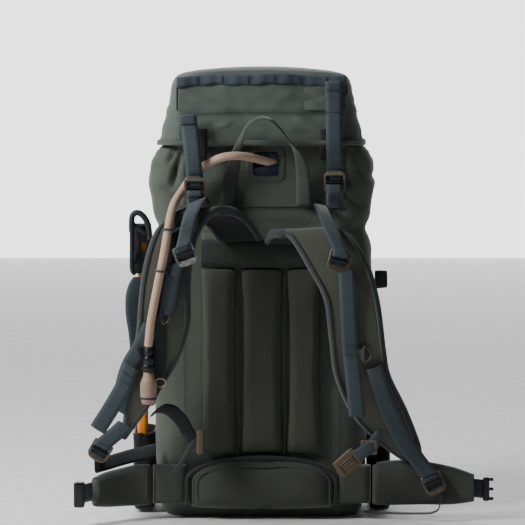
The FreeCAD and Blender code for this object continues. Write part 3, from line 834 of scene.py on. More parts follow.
LID_CREASES = (            # X and Z of both ends, depth, half width, in metres
    (-0.105, 0.632, -0.045, 0.612, 0.0023, 0.0075), (0.100, 0.628, 0.030, 0.640, 0.0018, 0.0080),
    (-0.020, 0.600, 0.060, 0.584, 0.0023, 0.0075), (-0.090, 0.578, -0.045, 0.596, 0.0020, 0.0070),
    (0.050, 0.602, 0.115, 0.575, 0.0026, 0.0080),
)


def lid_fold(at, normal):
    """How far the lid's cloth stands out or sinks, in metres."""
    x, y, z = at
    out = 0.0026 * cloth_noise(at, 17, 7.7) + 0.0010 * cloth_noise(at, 50, 2.2)
    out += 0.0024 * bump_at(z, 0.566, 0.014) * math.sin((x + y) * 46)
    back = min(1.0, max(0.0, -normal.y * 2 - 0.8))
    out += 0.0052 * back * cloth_noise((x + z * 0.5, 0.0, z * 0.9 - x * 0.35), 13, 5.4)
    for x0, z0, x1, z1, depth, width in LID_CREASES:
        out -= depth * back * crease(x, z, x0, z0, x1, z1, width)
    return out


def lid_ring(z, count):
    """The lid's plan at one height."""
    half, back, front = lookup(LID_PROFILE, z)
    corner = min(40, half * 0.8, (front - back) * 0.4)
    ring = []
    for p, normal in rounded_plan(half, back, front, corner, count):
        at = Vector((p.x * MM, p.y * MM, z * MM))
        out = lid_fold(at, normal) * min(1.0, half / 100)
        ring.append(at + Vector((normal.x, normal.y, 0)) * out)
    return ring


def make_lid():
    """The lid's crown and skirt as one cloth shell; its back below the hinge stays on the bag."""
    count, crown_start, hinge_z = 240, 0.655, 0.6125
    heights = [562 + 2.0 * i for i in range(44)] + [651, 654, 657, 660, 662.5, 665, 667, 669, 670.5, 672,
                                                    673.2, 674.2, 675, 675.7, 676.2, 676.6, 676.9, 677]
    full = [lid_ring(z, count) for z in heights]
    for ring in full:
        for p in ring:
            if p.z > crown_start:
                across = (p.x / 0.13) ** 2
                p.z += (0.004 * (1 - across) - 0.0045 * across) * (p.z - crown_start) / 0.022
    verts = [p for ring in full for p in ring]
    faces = []
    for i in range(len(full) - 1):
        for k in range(count):
            a, b = i * count + k, i * count + (k + 1) % count
            centre = (verts[a] + verts[b]) / 2
            if centre.y < -0.085 and abs(centre.x) < 0.1245 and centre.z < hinge_z:
                continue
            faces.append((a, b, b + count, a + count))
    faces.append(tuple(range(len(verts) - count, len(verts))))
    lid = new_object("lid_crown", verts, faces, "lid_cloth")
    drop_loose(lid)
    thicken(lid, 0.0022)
    put(lid, "lid", "olive_fabric", "lid_pocket", "lid_skirt")
    rings = [[Vector((p.x * 0.965, p.y * 0.965, z * MM)) for p in lid_ring(z, count)] for z in (613.5, 615.5)]
    put(section_grid("lid_pocket_floor", rings, "lining"), "lid", "olive_fabric")


def drop_loose(obj):
    """Delete the points that no face uses."""
    def delete_loose(work):
        loose = [v for v in work.verts if not v.link_faces]
        bmesh.ops.delete(work, geom=loose, context="VERTS")

    edit_mesh(obj, delete_loose)


def thicken(obj, thickness):
    """Give an open skin its cloth thickness, inward."""
    fix_normals(obj)
    modifier = obj.modifiers.new("thickness", "SOLIDIFY")
    modifier.thickness = thickness
    modifier.offset = -1.0
    apply_modifiers(obj)


def evaluated_mesh(obj):
    """The mesh that an object's modifiers or curve settings make."""
    graph = bpy.context.evaluated_depsgraph_get()
    return bpy.data.meshes.new_from_object(obj.evaluated_get(graph))


def apply_modifiers(obj):
    """Replace the object's mesh with what its modifiers make of it."""
    mesh = evaluated_mesh(obj)
    obj.modifiers.clear()
    obj.data = mesh
    mesh.shade_smooth()


def lid_back_y(x, z):
    """Y of the lid's back face."""
    back = lookup(LID_PROFILE, z * 1000)[1] * MM
    return back - 0.0008 + lid_fold(Vector((x, back, z)), Vector((0, -1, 0)))


def make_lid_back():
    """The lid's back cloth from its hem to above the hinge."""
    rings = []
    for i in range(61):
        z = 0.560 + 0.0935 * i / 60
        proud = 0.0016 + 0.0018 * min(1.0, max(0.0, (z - 0.604) / 0.012))
        front = []
        for k in range(81):
            x = (-1 + 2 * k / 80) * 0.1265
            front.append(Vector((x, lid_back_y(x, z) - proud, z)))
        rings.append(front + [p + Vector((0, 0.0018, 0)) for p in front[::-1]])
    back = section_grid("lid_back_cloth", rings, "lid_cloth")
    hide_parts("lid_back_flap")
    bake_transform(back)
    line = [(u * 0.0012, lid_back_y(u * 0.0012, 0.608) - 0.0038, 0.608 + 0.003 * (1 - (u / 100) ** 2))
            for u in range(-96, 89, 4)]
    put(stitches("lid_fold_stitches", line, "dark_thread", 0.0040, 0.0022, 0.0005), "pack", "olive_fabric")


def make_hem():
    """Grosgrain tape over the lid's lower edge: the back on the bag, the rest on the lid."""
    count = 300
    lower, upper = lid_ring(561.5, count), lid_ring(569, count)
    middle = Vector((0, 0.005, 0))
    split = int(count * 0.115)
    parts = (("hem_tape_back", "pack", 0.0048, [k % count for k in range(-split, split + 1)]),
             ("hem_tape_lid", "lid", 0.0022, range(split, count - split + 1)))
    for name, body, proud, indices in parts:
        low, high = [], []
        for k in indices:
            out = Vector((lower[k].x - middle.x, lower[k].y - middle.y, 0)).normalized() * proud
            low.append(lower[k] + out)
            high.append(upper[k] + out)
        put(ribbon(name, low, high, 0.0022, "hem", steps=1), body, "webbing")
        seam = [p + Vector((0, 0, -0.0008)) for p in high]
        row = stitches(name + "_stitches", [p + (p - middle).normalized() * 0.0012 for p in seam], "thread",
                       0.0036, 0.0022)
        put(row, body, "olive_fabric")


def make_lid_trim():
    """Load webbing across the lid's back edge, near-black edge piping that paints the shadow seam down the
    lid's sides, and the zipper.
    """
    low, high = [], []
    gap = 0.0385               # between two bartacks
    for i in range(49):
        x = -0.1275 + 0.2535 * i / 48
        sag = 0.0013 * math.cos((x - 0.018) * 2 * math.pi / gap + math.pi)
        z = daisy_height(x) + 0.0012 * math.sin(x * 60)
        y = daisy_y(x) - 0.0046 - max(0.0, sag)
        low.append(Vector((x, y, z - 0.0075 + 0.0008 * math.sin(x * 163))))
        high.append(Vector((x, y + 0.0012, z + 0.0075)))
    put(ribbon("lid_load_webbing", low, high, 0.0018, "web", steps=2), "lid", "webbing", "lid_daisy_webbing")
    for i, x in enumerate((-0.097, -0.060, -0.021, 0.018, 0.057, 0.096)):
        line = [(x + 0.0008 * (k % 2), daisy_y(x) - 0.0060, daisy_height(x) - 0.0065 + 0.0013 * k)
                for k in range(11)]
        put(stitches(f"load_bartack_{i}", line, "dark_thread", 0.0013, 0.0022, 0.0004), "lid", "webbing")
    # the piping's near-black binding colour is a painted shadow seam along the lid's side edges
    for side, sign in SIDES:
        line = [(sign * 0.1272, lid_back_y(sign * 0.1265, z) - 0.0028, z)
                for z in (0.614 + 0.039 * i / 23 for i in range(24))]
        put(tube_along(f"lid_shadow_piping_{side}", catmull(line, 2), 0.0015, "binding"), "lid", "webbing")
    front = lookup(LID_PROFILE, 628)[2] * MM + 0.0010
    tape = ribbon("lid_zipper_tape", [(-0.097, front, 0.622), (0.097, front, 0.622)],
                  [(-0.097, front - 0.001, 0.634), (0.097, front - 0.001, 0.634)], 0.0018, "web_dark",
                  steps=20)
    put(tape, "lid", "webbing")
    teeth = stitches("lid_zipper_teeth", [(-0.095, front + 0.0012, 0.628), (0.095, front + 0.0012, 0.628)],
                     "black_bar", 0.0024, 0.0014, 0.0013)
    put(teeth, "lid", "buckle_metal")


# ---- mouth, frame and water inside --------------------------------------------------------------


def make_mouth():
    """The gathered collar above the sewn mouth, with its drawcord."""
    rings = []
    for z, shrink in ((583, 0.962), (590, 0.948), (595, 0.915), (599, 0.85), (601, 0.77)):
        half, back, front = lookup(BAG_PROFILE, z)
        gather = (z - 583) / 18
        ring = []
        plan = rounded_plan(half * shrink, back * shrink + 1, front * shrink, 38, 200)
        for k, (p, normal) in enumerate(plan):
            ruffle = 0.0028 * gather * math.sin(k * 1.05) + 0.0012 * gather * math.sin(k * 2.7)
            ring.append(Vector((p.x * MM, p.y * MM, z * MM)) + Vector((normal.x, normal.y, 0)) * ruffle)
        rings.append(ring)
    collar = section_grid("mouth_collar", rings, "cloth", caps=False)
    thicken(collar, 0.0010)
    put(collar, "pack", "webbing", "mouth_drawcord")
    cord = [p + Vector((0, 0, 0.0012)) for p in rings[2]][::2]
    put(tube_along("mouth_cord", cord + cord[:1], 0.0016, "binding", 6), "pack", "webbing")


def pillow(name, x0, x1, y_back, y_front, z0, z1, material, rows=60, columns=40, quilt=None):
    """A crowned cushion facing away from its back, thick in the middle and drawn in at its seam."""
    rings = []
    for front in (True, False):
        for i in range(rows + 1):
            v = -1 + 2 * i / rows if front else 1 - 2 * i / rows
            ring = []
            for k in range(columns + 1):
                u = -1 + 2 * k / columns
                pull = 1 - 0.012 * (1 - u * u) if abs(v) > 0.98 else 1
                x = (x0 + x1) / 2 + (x1 - x0) / 2 * u * (1 - 0.010 * (1 - v * v))
                z = (z0 + z1) / 2 + (z1 - z0) / 2 * v * pull
                depth = 0.0
                if front:
                    depth = (y_front - y_back) * (1 - abs(u) ** 5) ** 0.45 * (1 - abs(v) ** 14) ** 0.45
                    depth *= quilt(x, z) if quilt else 1
                ring.append(Vector((x, y_back + depth, z)))
            rings.append(ring)
    obj = section_grid(name, rings, material, closed=False)
    close_seam(obj)
    return obj


def puff(obj, cap, voxel=0.005):
    """Blow the cushion up as cloth, with no point moving further than the cap."""
    pressure, frames = 4.0, 15
    scene = bpy.context.scene
    remesh = obj.modifiers.new("remesh", "REMESH")
    remesh.mode = "VOXEL"
    remesh.voxel_size = voxel
    apply_modifiers(obj)
    before = [v.co.copy() for v in obj.data.vertices]
    cloth = obj.modifiers.new("cloth", "CLOTH")
    cloth.settings.use_pressure = True
    cloth.settings.uniform_pressure_force = pressure
    cloth.settings.effector_weights.gravity = 0.0
    cloth.settings.quality = 5
    for number in range(1, frames + 1):
        scene.frame_set(number)
    mesh = evaluated_mesh(obj)
    obj.modifiers.clear()
    scene.frame_set(1)
    for vertex, start in zip(mesh.vertices, before):
        move = vertex.co - start
        if move.length > cap:
            vertex.co = start + move * (cap / move.length)
    obj.data = mesh
    subdivide(obj)


def subdivide(obj):
    """Smooth a cushion by one level."""
    modifier = obj.modifiers.new("subdivision", "SUBSURF")
    modifier.levels = 1
    modifier.render_levels = 1
    apply_modifiers(obj)


def make_inner_parts():
    """The water bladder inside the bag."""
    bladder = pillow("water_bladder_bag", -0.084, 0.084, -0.056, -0.088, 0.152, 0.488, "film")
    put(bladder, "pack", "bladder_film", "water_bladder")


# ---- back panel ---------------------------------------------------------------------------------


def pad_quilt(x, z):
    """Soft puckers down a back pad."""
    at = Vector((x, 0, z))
    return 1 + 0.05 * cloth_noise(at, 22, 5.5) + 0.03 * math.sin(z * 42 + x * 30)


def make_back_panel():
    """Three long back pads with piping between them, the yoke band and the shoulder seam."""
    spans = (("left", -0.094, -0.0375), ("centre", -0.0335, 0.0325), ("right", 0.0365, 0.091))
    for n, (side, x0, x1) in enumerate(spans):
        pad = pillow(f"back_pad_{side}", x0, x1, -0.1003, -0.1150, 0.094, 0.3825, "pad_cloth_painted_shade",
                     quilt=pad_quilt)
        puff(pad, cap=0.0035)
        put(pad, "pack", "pad_fabric", "back_pads" if n == 0 else None)
        for edge, x in (("l", x0 + 0.0035), ("r", x1 - 0.0035)):
            line = [(x, -0.1104, z * MM) for z in range(104, 368, 6)]
            put(stitches(f"pad_seam_{side}_{edge}", line, "dark_thread"), "pack", "pad_fabric")
    for side, x in (("left", -0.0355), ("right", 0.0345)):
        line = [(x + 0.0006 * math.sin(z * 0.05), -0.1045, z * MM) for z in range(96, 376, 8)]
        put(tube_along(f"pad_ridge_{side}", line, 0.0016, "strap_cloth_painted_shade"), "pack", "pad_fabric")
    low = [(x * MM, -0.1095 - 0.0020 * math.cos(x / 60), 0.3785) for x in range(-92, 88, 6)]
    high = [(x * MM, -0.1075 - 0.0015 * math.cos(x / 60), 0.4195) for x in range(-92, 88, 6)]
    put(ribbon("yoke_webbing_band", low, high, 0.0028, "yoke", steps=2), "pack", "yoke_webbing", "yoke_band")
    for n, z in enumerate((0.3815, 0.4165)):
        line = [(x * MM, -0.1120, z) for x in range(-88, 86, 4)]
        put(stitches(f"yoke_stitches_{n}", line, "dark_thread"), "pack", "yoke_webbing")
    low, high = ([(x, -0.1008, z) for x in (-0.090, 0.086)] for z in (0.380, 0.432))
    put(ribbon("yoke_backing", low, high, 0.008, "cloth", 24, 0.002), "pack", "olive_fabric")
    seam = [Vector((x * MM, bag_back_face(x * MM, 0.4705) - 0.0012, 0.4705)) for x in range(-116, 118, 4)]
    put(tube_along("shoulder_seam_piping", seam, 0.0011, "thread", 6), "pack", "olive_fabric")
    line = [p + Vector((0, 0.0006, -0.0045)) for p in seam]
    put(stitches("shoulder_seam_stitches", line, "dark_thread", 0.0036, 0.0022, 0.0004), "pack",
        "olive_fabric")


def bag_back_face(x, z):
    """Y of the bag's back cloth."""
    back = lookup(BAG_PROFILE, z * 1000)[1] * MM
    return back - bag_fold(Vector((x, back, z)), Vector((0, -1, 0)))


HANDLE_OUTER = mm([(-63, -108, 471), (-59, -109, 505), (-48, -117, 545), (-31, -130, 580), (-19, -138, 598),
                   (-3, -142, 605), (14, -142, 602), (29, -138, 587), (40, -132, 570), (48, -124, 548),
                   (51, -111, 519), (51, -109, 471)])
HANDLE_INNER = mm([(-38, -108, 471), (-36, -109, 505), (-30, -118, 548), (-26, -148, 578), (-17, -161, 594),
                   (-3, -167, 601), (13, -167, 598), (28, -160, 584), (42, -148, 566), (62, -132, 545),
                   (72, -116, 515), (76, -109, 471)])


def make_handle():
    """The haul loop, standing up off the bag between its two edge lines."""
    handle = ribbon("haul_loop", HANDLE_OUTER, HANDLE_INNER, 0.0024, "web_olive", steps=10)
    put(handle, "pack", "webbing", "haul_handle")


# ---- shoulder straps ----------------------------------------------------------------------------

LEFT_OUTER = mm([(-68, -113, 424), (-88, -130, 453), (-110, -150, 468), (-134, -166, 461),
                 (-157, -178, 438), (-172, -184, 396), (-180, -186, 348), (-185, -182, 291),
                 (-194, -172, 238), (-203, -155, 178), (-211, -136, 125)])
LEFT_INNER = mm([(0, -113, 426), (-17, -130, 452), (-38, -150, 470), (-65, -168, 470),
                 (-92, -182, 436), (-103, -189, 390), (-106, -191, 348), (-107, -187, 298),
                 (-124, -176, 244), (-160, -157, 183), (-204, -136, 121)])
RIGHT_INNER = mm([(4, -113, 424), (8, -130, 434), (20, -148, 437), (40, -162, 428),
                  (69, -176, 381), (92, -184, 336), (100, -184, 275), (108, -174, 220),
                  (136, -156, 158), (180, -140, 112), (209, -134, 90)])
RIGHT_OUTER = mm([(70, -113, 424), (84, -130, 438), (104, -150, 441), (131, -166, 431),
                  (158, -176, 388), (174, -182, 332), (183, -182, 262), (191, -172, 220),
                  (216, -156, 168), (236, -142, 116), (240, -134, 93)])


def padded_strap(name, outer, inner, node, body="pack", slot="olive_fabric", thickness=0.012, bind=0.0070,
                 face="strap_cloth_painted_shade", crown=0.0):
    """A foam strap: crowned cloth face, dark mesh behind, and bound edges with stitching."""
    a_line, b_line = catmull(outer, 10), catmull(inner, 10)
    frames = edge_frames(a_line, b_line)
    runs = distances([(a + b) / 2 for a, b in zip(a_line, b_line)])
    rings, uvs = [], []
    count = 14
    for run, (a, b, normal) in zip(runs, frames):
        front, back = [], []
        for s in range(count + 1):
            t = s / count
            hug = 1 - abs(2 * t - 1) ** 6
            at = a.lerp(b, t)
            wrinkle = 0.0008 * cloth_noise(at, 26, 9.1) * hug
            front.append(at + normal * (-thickness * 0.30 * (1 - hug ** 0.5) + crown * hug + wrinkle))
            back.append(at - normal * (thickness * (0.70 + 0.30 * hug ** 0.5)))
        rings.append(front + back[::-1])
        uvs.extend([(run, s / count * (b - a).length) for s in range(count + 1)] * 2)
    strap = section_grid(name, rings, face, uvs)
    strap.data.materials.append(M["mesh_under"])
    for poly in strap.data.polygons:
        lanes = [v % (2 * count + 2) for v in poly.vertices]
        if min(lanes) >= count and len(poly.vertices) == 4:
            poly.material_index = 1
    put(strap, body, slot, node)
    for edge in ("a", "b"):
        # each edge sees the strap from its own side
        views = [(a, b, normal) if edge == "a" else (b, a, normal) for a, b, normal in frames]
        wrap = edge_binding(f"{name}_binding_{edge}", views, distances(a_line), thickness, bind)
        put(wrap, body, "webbing")
        line = []
        for near, far, normal in views[1:-1]:
            inset = min(bind * 0.80, (far - near).length * 0.4)
            line.append(near + (far - near).normalized() * inset + normal * 0.0012)
        put(stitches(f"{name}_stitches_{edge}", line, "thread", 0.0046, 0.0028, 0.0003), body, slot)


def edge_binding(name, views, runs, thickness, width):
    """Tape folded round one edge of a padded strap."""
    rings, uvs = [], []
    spans = [0, 0.005, 0.009, 0.012, 0.016, 0.019, 0.023, 0.028]      # across the tape, for its ribs
    for run, (near, far, normal) in zip(runs, views):
        inward = (far - near).normalized()
        reach = min(width, (far - near).length * 0.45)
        profile = [(reach, 0.0006), (reach * 0.45, 0.0002), (0.0015, -0.0016), (-0.0006, -thickness * 0.3),
                   (-0.0006, -thickness * 0.7), (0.0015, -thickness + 0.001),
                   (reach * 0.5, -thickness - 0.0004), (reach, -thickness - 0.0006)]
        outer, skin = [], []
        for u, n in profile:
            proud = 0.0006 if n > -thickness / 2 else -0.0006
            outer.append(near + inward * u + normal * (n + proud))
            skin.append(near + inward * (u + 0.0012) + normal * (n * 0.86 - thickness * 0.07))
        rings.append(outer + skin[::-1])
        uvs.extend((run, v) for v in spans + spans[::-1])
    return section_grid(name, rings, "binding", uvs)


def make_shoulder_straps():
    """Both shoulder straps, each between its two given edge lines."""
    padded_strap("shoulder_strap_pad_left", LEFT_OUTER, LEFT_INNER, "shoulder_strap_left")
    padded_strap("shoulder_strap_pad_right", RIGHT_INNER, RIGHT_OUTER, "shoulder_strap_right")


TAIL_ACROSS = (0.84, 0, -0.54)


def sewn_webbing():
    """All the flat webbing of the harness: name, path, width direction, width and colour."""
    left, right = (0.94, 0, 0.34), (0.96, 0, -0.28)
    low_left, low_right = (0.86, 0, -0.5), (0.9, 0, 0.4)
    return (
        ("load_lifter_left", [(-88, -104, 468), (-94, -150, 481), (-104, -187, 462), (-113, -198, 424),
                              (-116, -200.6, 415.5)], left, WEB, "web"),
        ("load_lifter_right", [(89, -104, 472), (94, -145, 460), (104, -178, 434), (113, -190, 414),
                               (115.7, -192.8, 406)], right, WEB, "web"),
        ("lifter_tail_left", [(-124, -197, 391), (-129, -199, 376), (-133, -198.5, 352),
                              (-137, -197.5, 331), (-140, -196.5, 314)], left, WEB, "web"),
        ("lifter_tail_right", [(123, -190, 380), (125, -192, 368), (128, -190, 310), (131, -189, 262),
                               (136, -190, 215), (141, -188, 162)], (0.99, 0, -0.1), WEB, "web"),
        ("strap_webbing_left", [(-164, -186.5, 297), (-171, -186, 280), (-181, -184, 262),
                                (-196, -176, 236), (-206, -163, 205), (-211, -150, 165)],
         low_left, WEB, "web"),
        ("strap_webbing_right", [(166, -187, 236), (184, -178, 180), (208, -160, 128), (226, -149, 102),
                                 (240.6, -146.5, 82), (250, -146.6, 70.5)], low_right, WEB, "web"),
        ("strap_tail_left", [(-193, -189, 238), (-204, -187, 208), (-222, -181, 176), (-237, -176, 152)],
         TAIL_ACROSS, WEB, "web"),
        # near-black strip down the hose's right side: dark webbing under the hose that also paints in the
        # hose's shadow
        ("hose_shadow_webbing", [(-128, -181, 440), (-137, -188.5, 400), (-146, -192, 350),
                              (-151, -189.5, 310), (-151, -178, 246), (-160, -168, 205),
                              (-170, -160, 176)], (1, 0, 0), 0.020, "web_dark"),
        ("lower_strap_left", [(-203, -147, 146), (-218, -143, 132), (-231, -140.5, 121),
                              (-236, -141.6, 116.5)], low_left, WEB, "web"),
        ("return_strap_left", [(-250, -136, 93), (-249, -128, 82), (-238, -112, 82), (-200, -102, 92),
                               (-160, -99, 101)], (0, 0.3, 1), 0.022, "web_dark"),
        ("return_strap_right", [(265, -144, 44), (267, -146, 33), (260, -144, 15), (225, -124, 9),
                                (154, -108, 9)], (0.1, 1, 0), 0.020, "web_dark"),
    )


def daisy_height(x):
    """Z of the load webbing's middle, which bows up."""
    return 0.6565 + 0.0042 * (1 - (x / 0.13) ** 2)


def daisy_y(x):
    """Y of the rearmost cloth behind the load webbing."""
    return min(lid_back_y(x, 0.648 + 0.003 * k) for k in range(6))


def make_harness_webbing():
    """Every length of flat webbing on the harness, with the bartacks that hold it."""
    for n, (name, path, across, width, material) in enumerate(sewn_webbing()):
        node = "harness_webbing" if n == 0 else None
        sew(name, path, "pack", node, material, width, WEB_T, across, 12)
    sew("strap_tail_left_fold", [(-236, -176.5, 154), (-243, -174.5, 142), (-241, -173, 146)],
        across=TAIL_ACROSS, steps=8)
    bartacks = (((-116, -200.3, 446), (0.94, 0, 0.34)), ((112, -191.6, 432), (0.96, 0, -0.28)),
                ((129.5, -191.8, 268), (0.99, 0, -0.1)), ((130, -191.8, 255), (0.99, 0, -0.1)),
                ((-197, -189.5, 224), TAIL_ACROSS), ((-201, -188.5, 213), TAIL_ACROSS))
    for i, (place, across) in enumerate(bartacks):
        half = Vector(across).normalized() * 0.0105
        at = Vector(place) * MM
        row = stitches(f"bartack_{i}", [at - half, at + half], "dark_thread", 0.0014, 0.003, 0.0004)
        put(row, "pack", "webbing")
    hose_keepers()


def hose_keepers():
    """Two elastic loops that hold the hose to the strap."""
    for n, (i, reach) in enumerate(((11, (-0.104, -0.186, 0.449)), (13, (-0.131, -0.197, 0.362)))):
        above, below, reach = HOSE_ROUTE[i], HOSE_ROUTE[i + 1], Vector(reach)
        middle = (above + below) / 2
        along = (below - above).normalized()
        side = (Vector((1, 0, 0)) - along * along.x).normalized()
        out = along.cross(side)
        loop = [middle + (side * math.cos(t) + out * math.sin(t)) * 0.0080 for t in turns(28)]
        put(tube_along(f"hose_keeper_{n}", loop, 0.0014, "binding", 8), "pack", "webbing")
        start = middle + side * 0.0085
        tail = catmull([start, start.lerp(reach, 0.5) + out * 0.001, reach], 8)
        put(tube_along(f"hose_keeper_tail_{n}", tail, 0.0014, "binding", 8), "pack", "webbing")


# ---- buckles and rings --------------------------------------------------------------------------

LOCKS = (                  # name, body, origin, across, down, frame finish
    ("lid_buckle_left", "lid_lock_left", (-99.5, -142, 488), (-1, 0, 0), (0.03, 0, 1), "bronze"),
    ("lid_buckle_right", "lid_lock_right", (109, -114, 496), (-1, 0, 0), (0, 0, 1), "bronze"),
    ("lifter_buckle_left", "lifter_lock_left", (-117, -196, 414), (0.93, 0, 0.36), (-0.36, -0.02, -0.93),
     "silver"),
    ("lifter_buckle_right", "lifter_lock_right", (117, -188, 405), (0.97, 0, -0.25), (0.25, -0.05, -0.97),
     "bronze"),
    ("lower_buckle_left", "lower_lock_left", (-236, -136, 116), (0.86, 0, -0.5), (-0.5, 0.05, -0.86),
     "bronze"),
    ("lower_buckle_right", "lower_lock_right", (252, -142, 68), (0.9, 0, 0.42), (0.42, -0.05, -0.9),
     "bronze"),
)
LOCK_HALF = 0.0155         # half the width of a ladder-lock


def plate_with_windows(name, outline, windows, thickness, material, bend):
    """A pressed plate with rounded windows, curved like a stamped buckle."""
    curve = bpy.data.curves.new(name, "CURVE")
    curve.dimensions = "2D"
    curve.fill_mode = "BOTH"
    curve.extrude = thickness / 2 - 0.0005
    curve.bevel_depth = 0.0005
    curve.bevel_resolution = 2
    for loop in (outline, *windows):
        spline = curve.splines.new("POLY")
        spline.points.add(len(loop) - 1)
        for point, place in zip(spline.points, loop):
            point.co = (place[0], place[1], 0, 1)
        spline.use_cyclic_u = True
    holder = link_object(name + "_outline", curve)
    mesh = evaluated_mesh(holder)
    bpy.data.objects.remove(holder)
    for v in mesh.vertices:
        x, z, y = v.co.x, v.co.y, -v.co.z
        v.co = (x, y - bend(x, z), z)
    mesh.materials.clear()
    mesh.materials.append(M[material])
    mesh.shade_smooth()
    mesh.set_sharp_from_angle(angle=math.radians(50))
    return link_object(name, mesh)


def rounded_rectangle(x0, x1, z0, z1, radius, steps=6):
    """Points round a rectangle with rounded corners, as pairs."""
    loop = []
    for cx, cz, start in ((x1 - radius, z1 - radius, 0), (x0 + radius, z1 - radius, 90),
                          (x0 + radius, z0 + radius, 180), (x1 - radius, z0 + radius, 270)):
        for k in range(steps + 1):
            t = math.radians(start + 90 * k / steps)
            loop.append((cx + radius * math.cos(t), cz + radius * math.sin(t)))
    return loop


def lock_outline():
    """Straight sides, rounded shoulders and a domed lip at the bottom, in metres."""
    low = -0.0215
    loop = [(LOCK_HALF, 0.0004), (LOCK_HALF - 0.0010, 0.0018), (-LOCK_HALF + 0.0010, 0.0018),
            (-LOCK_HALF, 0.0004), (-LOCK_HALF, low)]
    for k in range(13):
        t = math.pi * k / 12
        loop.append((-0.0128 * math.cos(t), -0.0240 - 0.0042 * math.sin(t) ** 0.8))
    loop.append((LOCK_HALF, low))
    return loop


def lock_bend(x, z):
    """How far a ladder-lock's frame bows outward, and its lip a little more."""
    return 0.0010 * math.cos(x / LOCK_HALF * 1.3) + (0.0012 if z < -0.023 else 0)


def make_ladder_locks():
    """Six ladder-locks: a stamped frame, a bar across it and the webbing that turns round the bar."""
    half_window = 0.0131
    windows = [rounded_rectangle(-half_window, half_window, low, high, 0.0008)
               for low, high in ((-0.0098, -0.0022), (-0.0208, -0.0136))]
    turn = ((0, -3.3, 1.2), (0, -3.4, -0.6), (0, -3.2, -3.0), (0, -1.6, -6.6), (0, 1.6, -9.5),
            (0, 2.2, -13.5), (0, 2.4, -17.2), (0, 2.6, -21.5), (0, 2.8, -26.2))
    for name, body, origin, across, down, metal in LOCKS:
        frame = frame_axes(origin, across, down)
        plate = plate_with_windows(f"{name}_frame", lock_outline(), windows, 0.0026, metal, lock_bend)
        plate.data.transform(frame)
        put(plate, body, "buckle_metal", name)
        bar_line = [(x * MM, -0.0024, -0.0117) for x in (-13.4, -12.6, -6, 0, 6, 12.6, 13.4)]
        bar = tube_along(f"{name}_bar", bar_line, 0.0027, "black_bar", 20)
        bar.data.transform(frame)
        put(bar, body, "buckle_metal")
        loop = sew(f"{name}_webbing_turn", turn, body, thickness=0.0017, steps=5)
        loop.data.transform(frame)


def make_d_rings():
    """Wire D-rings, each hung in a keeper of dark webbing."""
    arc = [math.radians(-90 + 180 * k / 22) for k in range(23)]
    for side, centre in (("left", Vector((-146, -195.5, 312))), ("right", Vector((150, -192, 255)))):
        bow = [centre + Vector((11 * math.cos(t), 0, 11 * math.sin(t))) for t in arc]
        bar = [centre + Vector((0, 0, 2.2 * k)) for k in range(-5, 6)]
        for part, line, node in (("bow", bow, f"d_ring_{side}"), ("bar", bar, None)):
            piece = tube_along(f"d_ring_{part}_{side}", mm(line), 0.0016, "olive_wire", 12)
            put(piece, f"ring_{side}", "buckle_metal", node)
        loop = ((-16, 3.2, 0), (-6, 2.2, 0), (-1.5, -0.2, 0), (0.8, -2.8, 0), (3, -0.5, 0), (1.5, 2.8, 0),
                (-3, 3.4, 0))
        sew(f"d_ring_keeper_{side}", [centre + Vector(p) for p in loop], material="web_dark", width=0.016,
            thickness=0.0012, across=UP, steps=6)


# ---- lid straps ---------------------------------------------------------------------------------


def folded_end(name, at, across, down, body="pack"):
    """The thick folded tip at the end of a length of webbing."""
    x_dir, along = Vector(across).normalized(), Vector(down).normalized()
    out = along.cross(x_dir).normalized()
    if out.y > 0:
        out = -out
    at = Vector(at)
    path = [at + along * 0.011 + out * 0.0022, at + along * 0.004 + out * 0.0026, at + out * 0.0030,
            at - along * 0.0025 + out * 0.0012, at + out * 0.0002]
    put(strip(name, path, "web", WEB + 0.0015, 0.0024, x_dir, 6), body, "webbing")
    seam = at + along * 0.0085 + out * 0.0036
    row = [seam - x_dir * 0.010, seam + x_dir * 0.010]
    put(stitches(name + "_seam", row, "dark_thread", 0.0018, 0.0012, 0.0004), body, "webbing")


def make_rear_straps():
    """The two straps from the bag over the lid's back, their anchors and loose ends."""
    sew("lid_strap_left", [(-99.5, -139, 509), (-99.8, -139, 517), (-101, -143, 528), (-103, -143, 548),
                           (-106.5, -133, 580), (-110, -126, 603)], "pack", "lid_rear_straps",
        across=(1, 0, 0.06), steps=12)
    sew("lid_strap_right", [(109, -111, 517), (109, -113, 525), (108.8, -118, 538), (108.5, -119.5, 562),
                            (108, -116, 586), (108, -113.5, 609.5)], steps=12)
    folded_end("lid_strap_left_end", (-0.1104, -0.1265, 0.604), (1, 0, 0.06), (0.1, -0.25, -1))
    sew("lid_strap_right_rise", [(108, -112.0, 611), (108, -111, 618), (108, -108.5, 634),
                                 (108, -107.5, 652)], "lid", "lid_strap_tail_right", steps=8)
    folded_end("lid_strap_right_end", (0.108, -0.1065, 0.654), (1, 0, 0.02), (0, -0.05, -1), "lid")
    sew("lid_anchor_left", [(-99.5, -103.5, 468), (-99.5, -106, 476), (-99.5, -118, 482), (-99.5, -134, 483),
                            (-99.5, -142.5, 485.5), (-99.5, -144.5, 490)])
    sew("lid_anchor_right", [(109, -103.5, 468), (109, -106.5, 478), (109, -112.5, 485), (109, -117.6, 490),
                             (109, -119.0, 497)])
    for n, (x0, x1) in enumerate(((-0.098, -0.082), (0.086, 0.097))):
        low = [(x0, lid_back_y(x0, z * MM) - 0.0038, z * MM) for z in range(538, 588, 6)]
        high = [(x1, y, z) for _, y, z in low]
        put(ribbon(f"lid_tab_{n}", low, high, 0.0016, "web_dark", steps=2), "pack", "webbing")


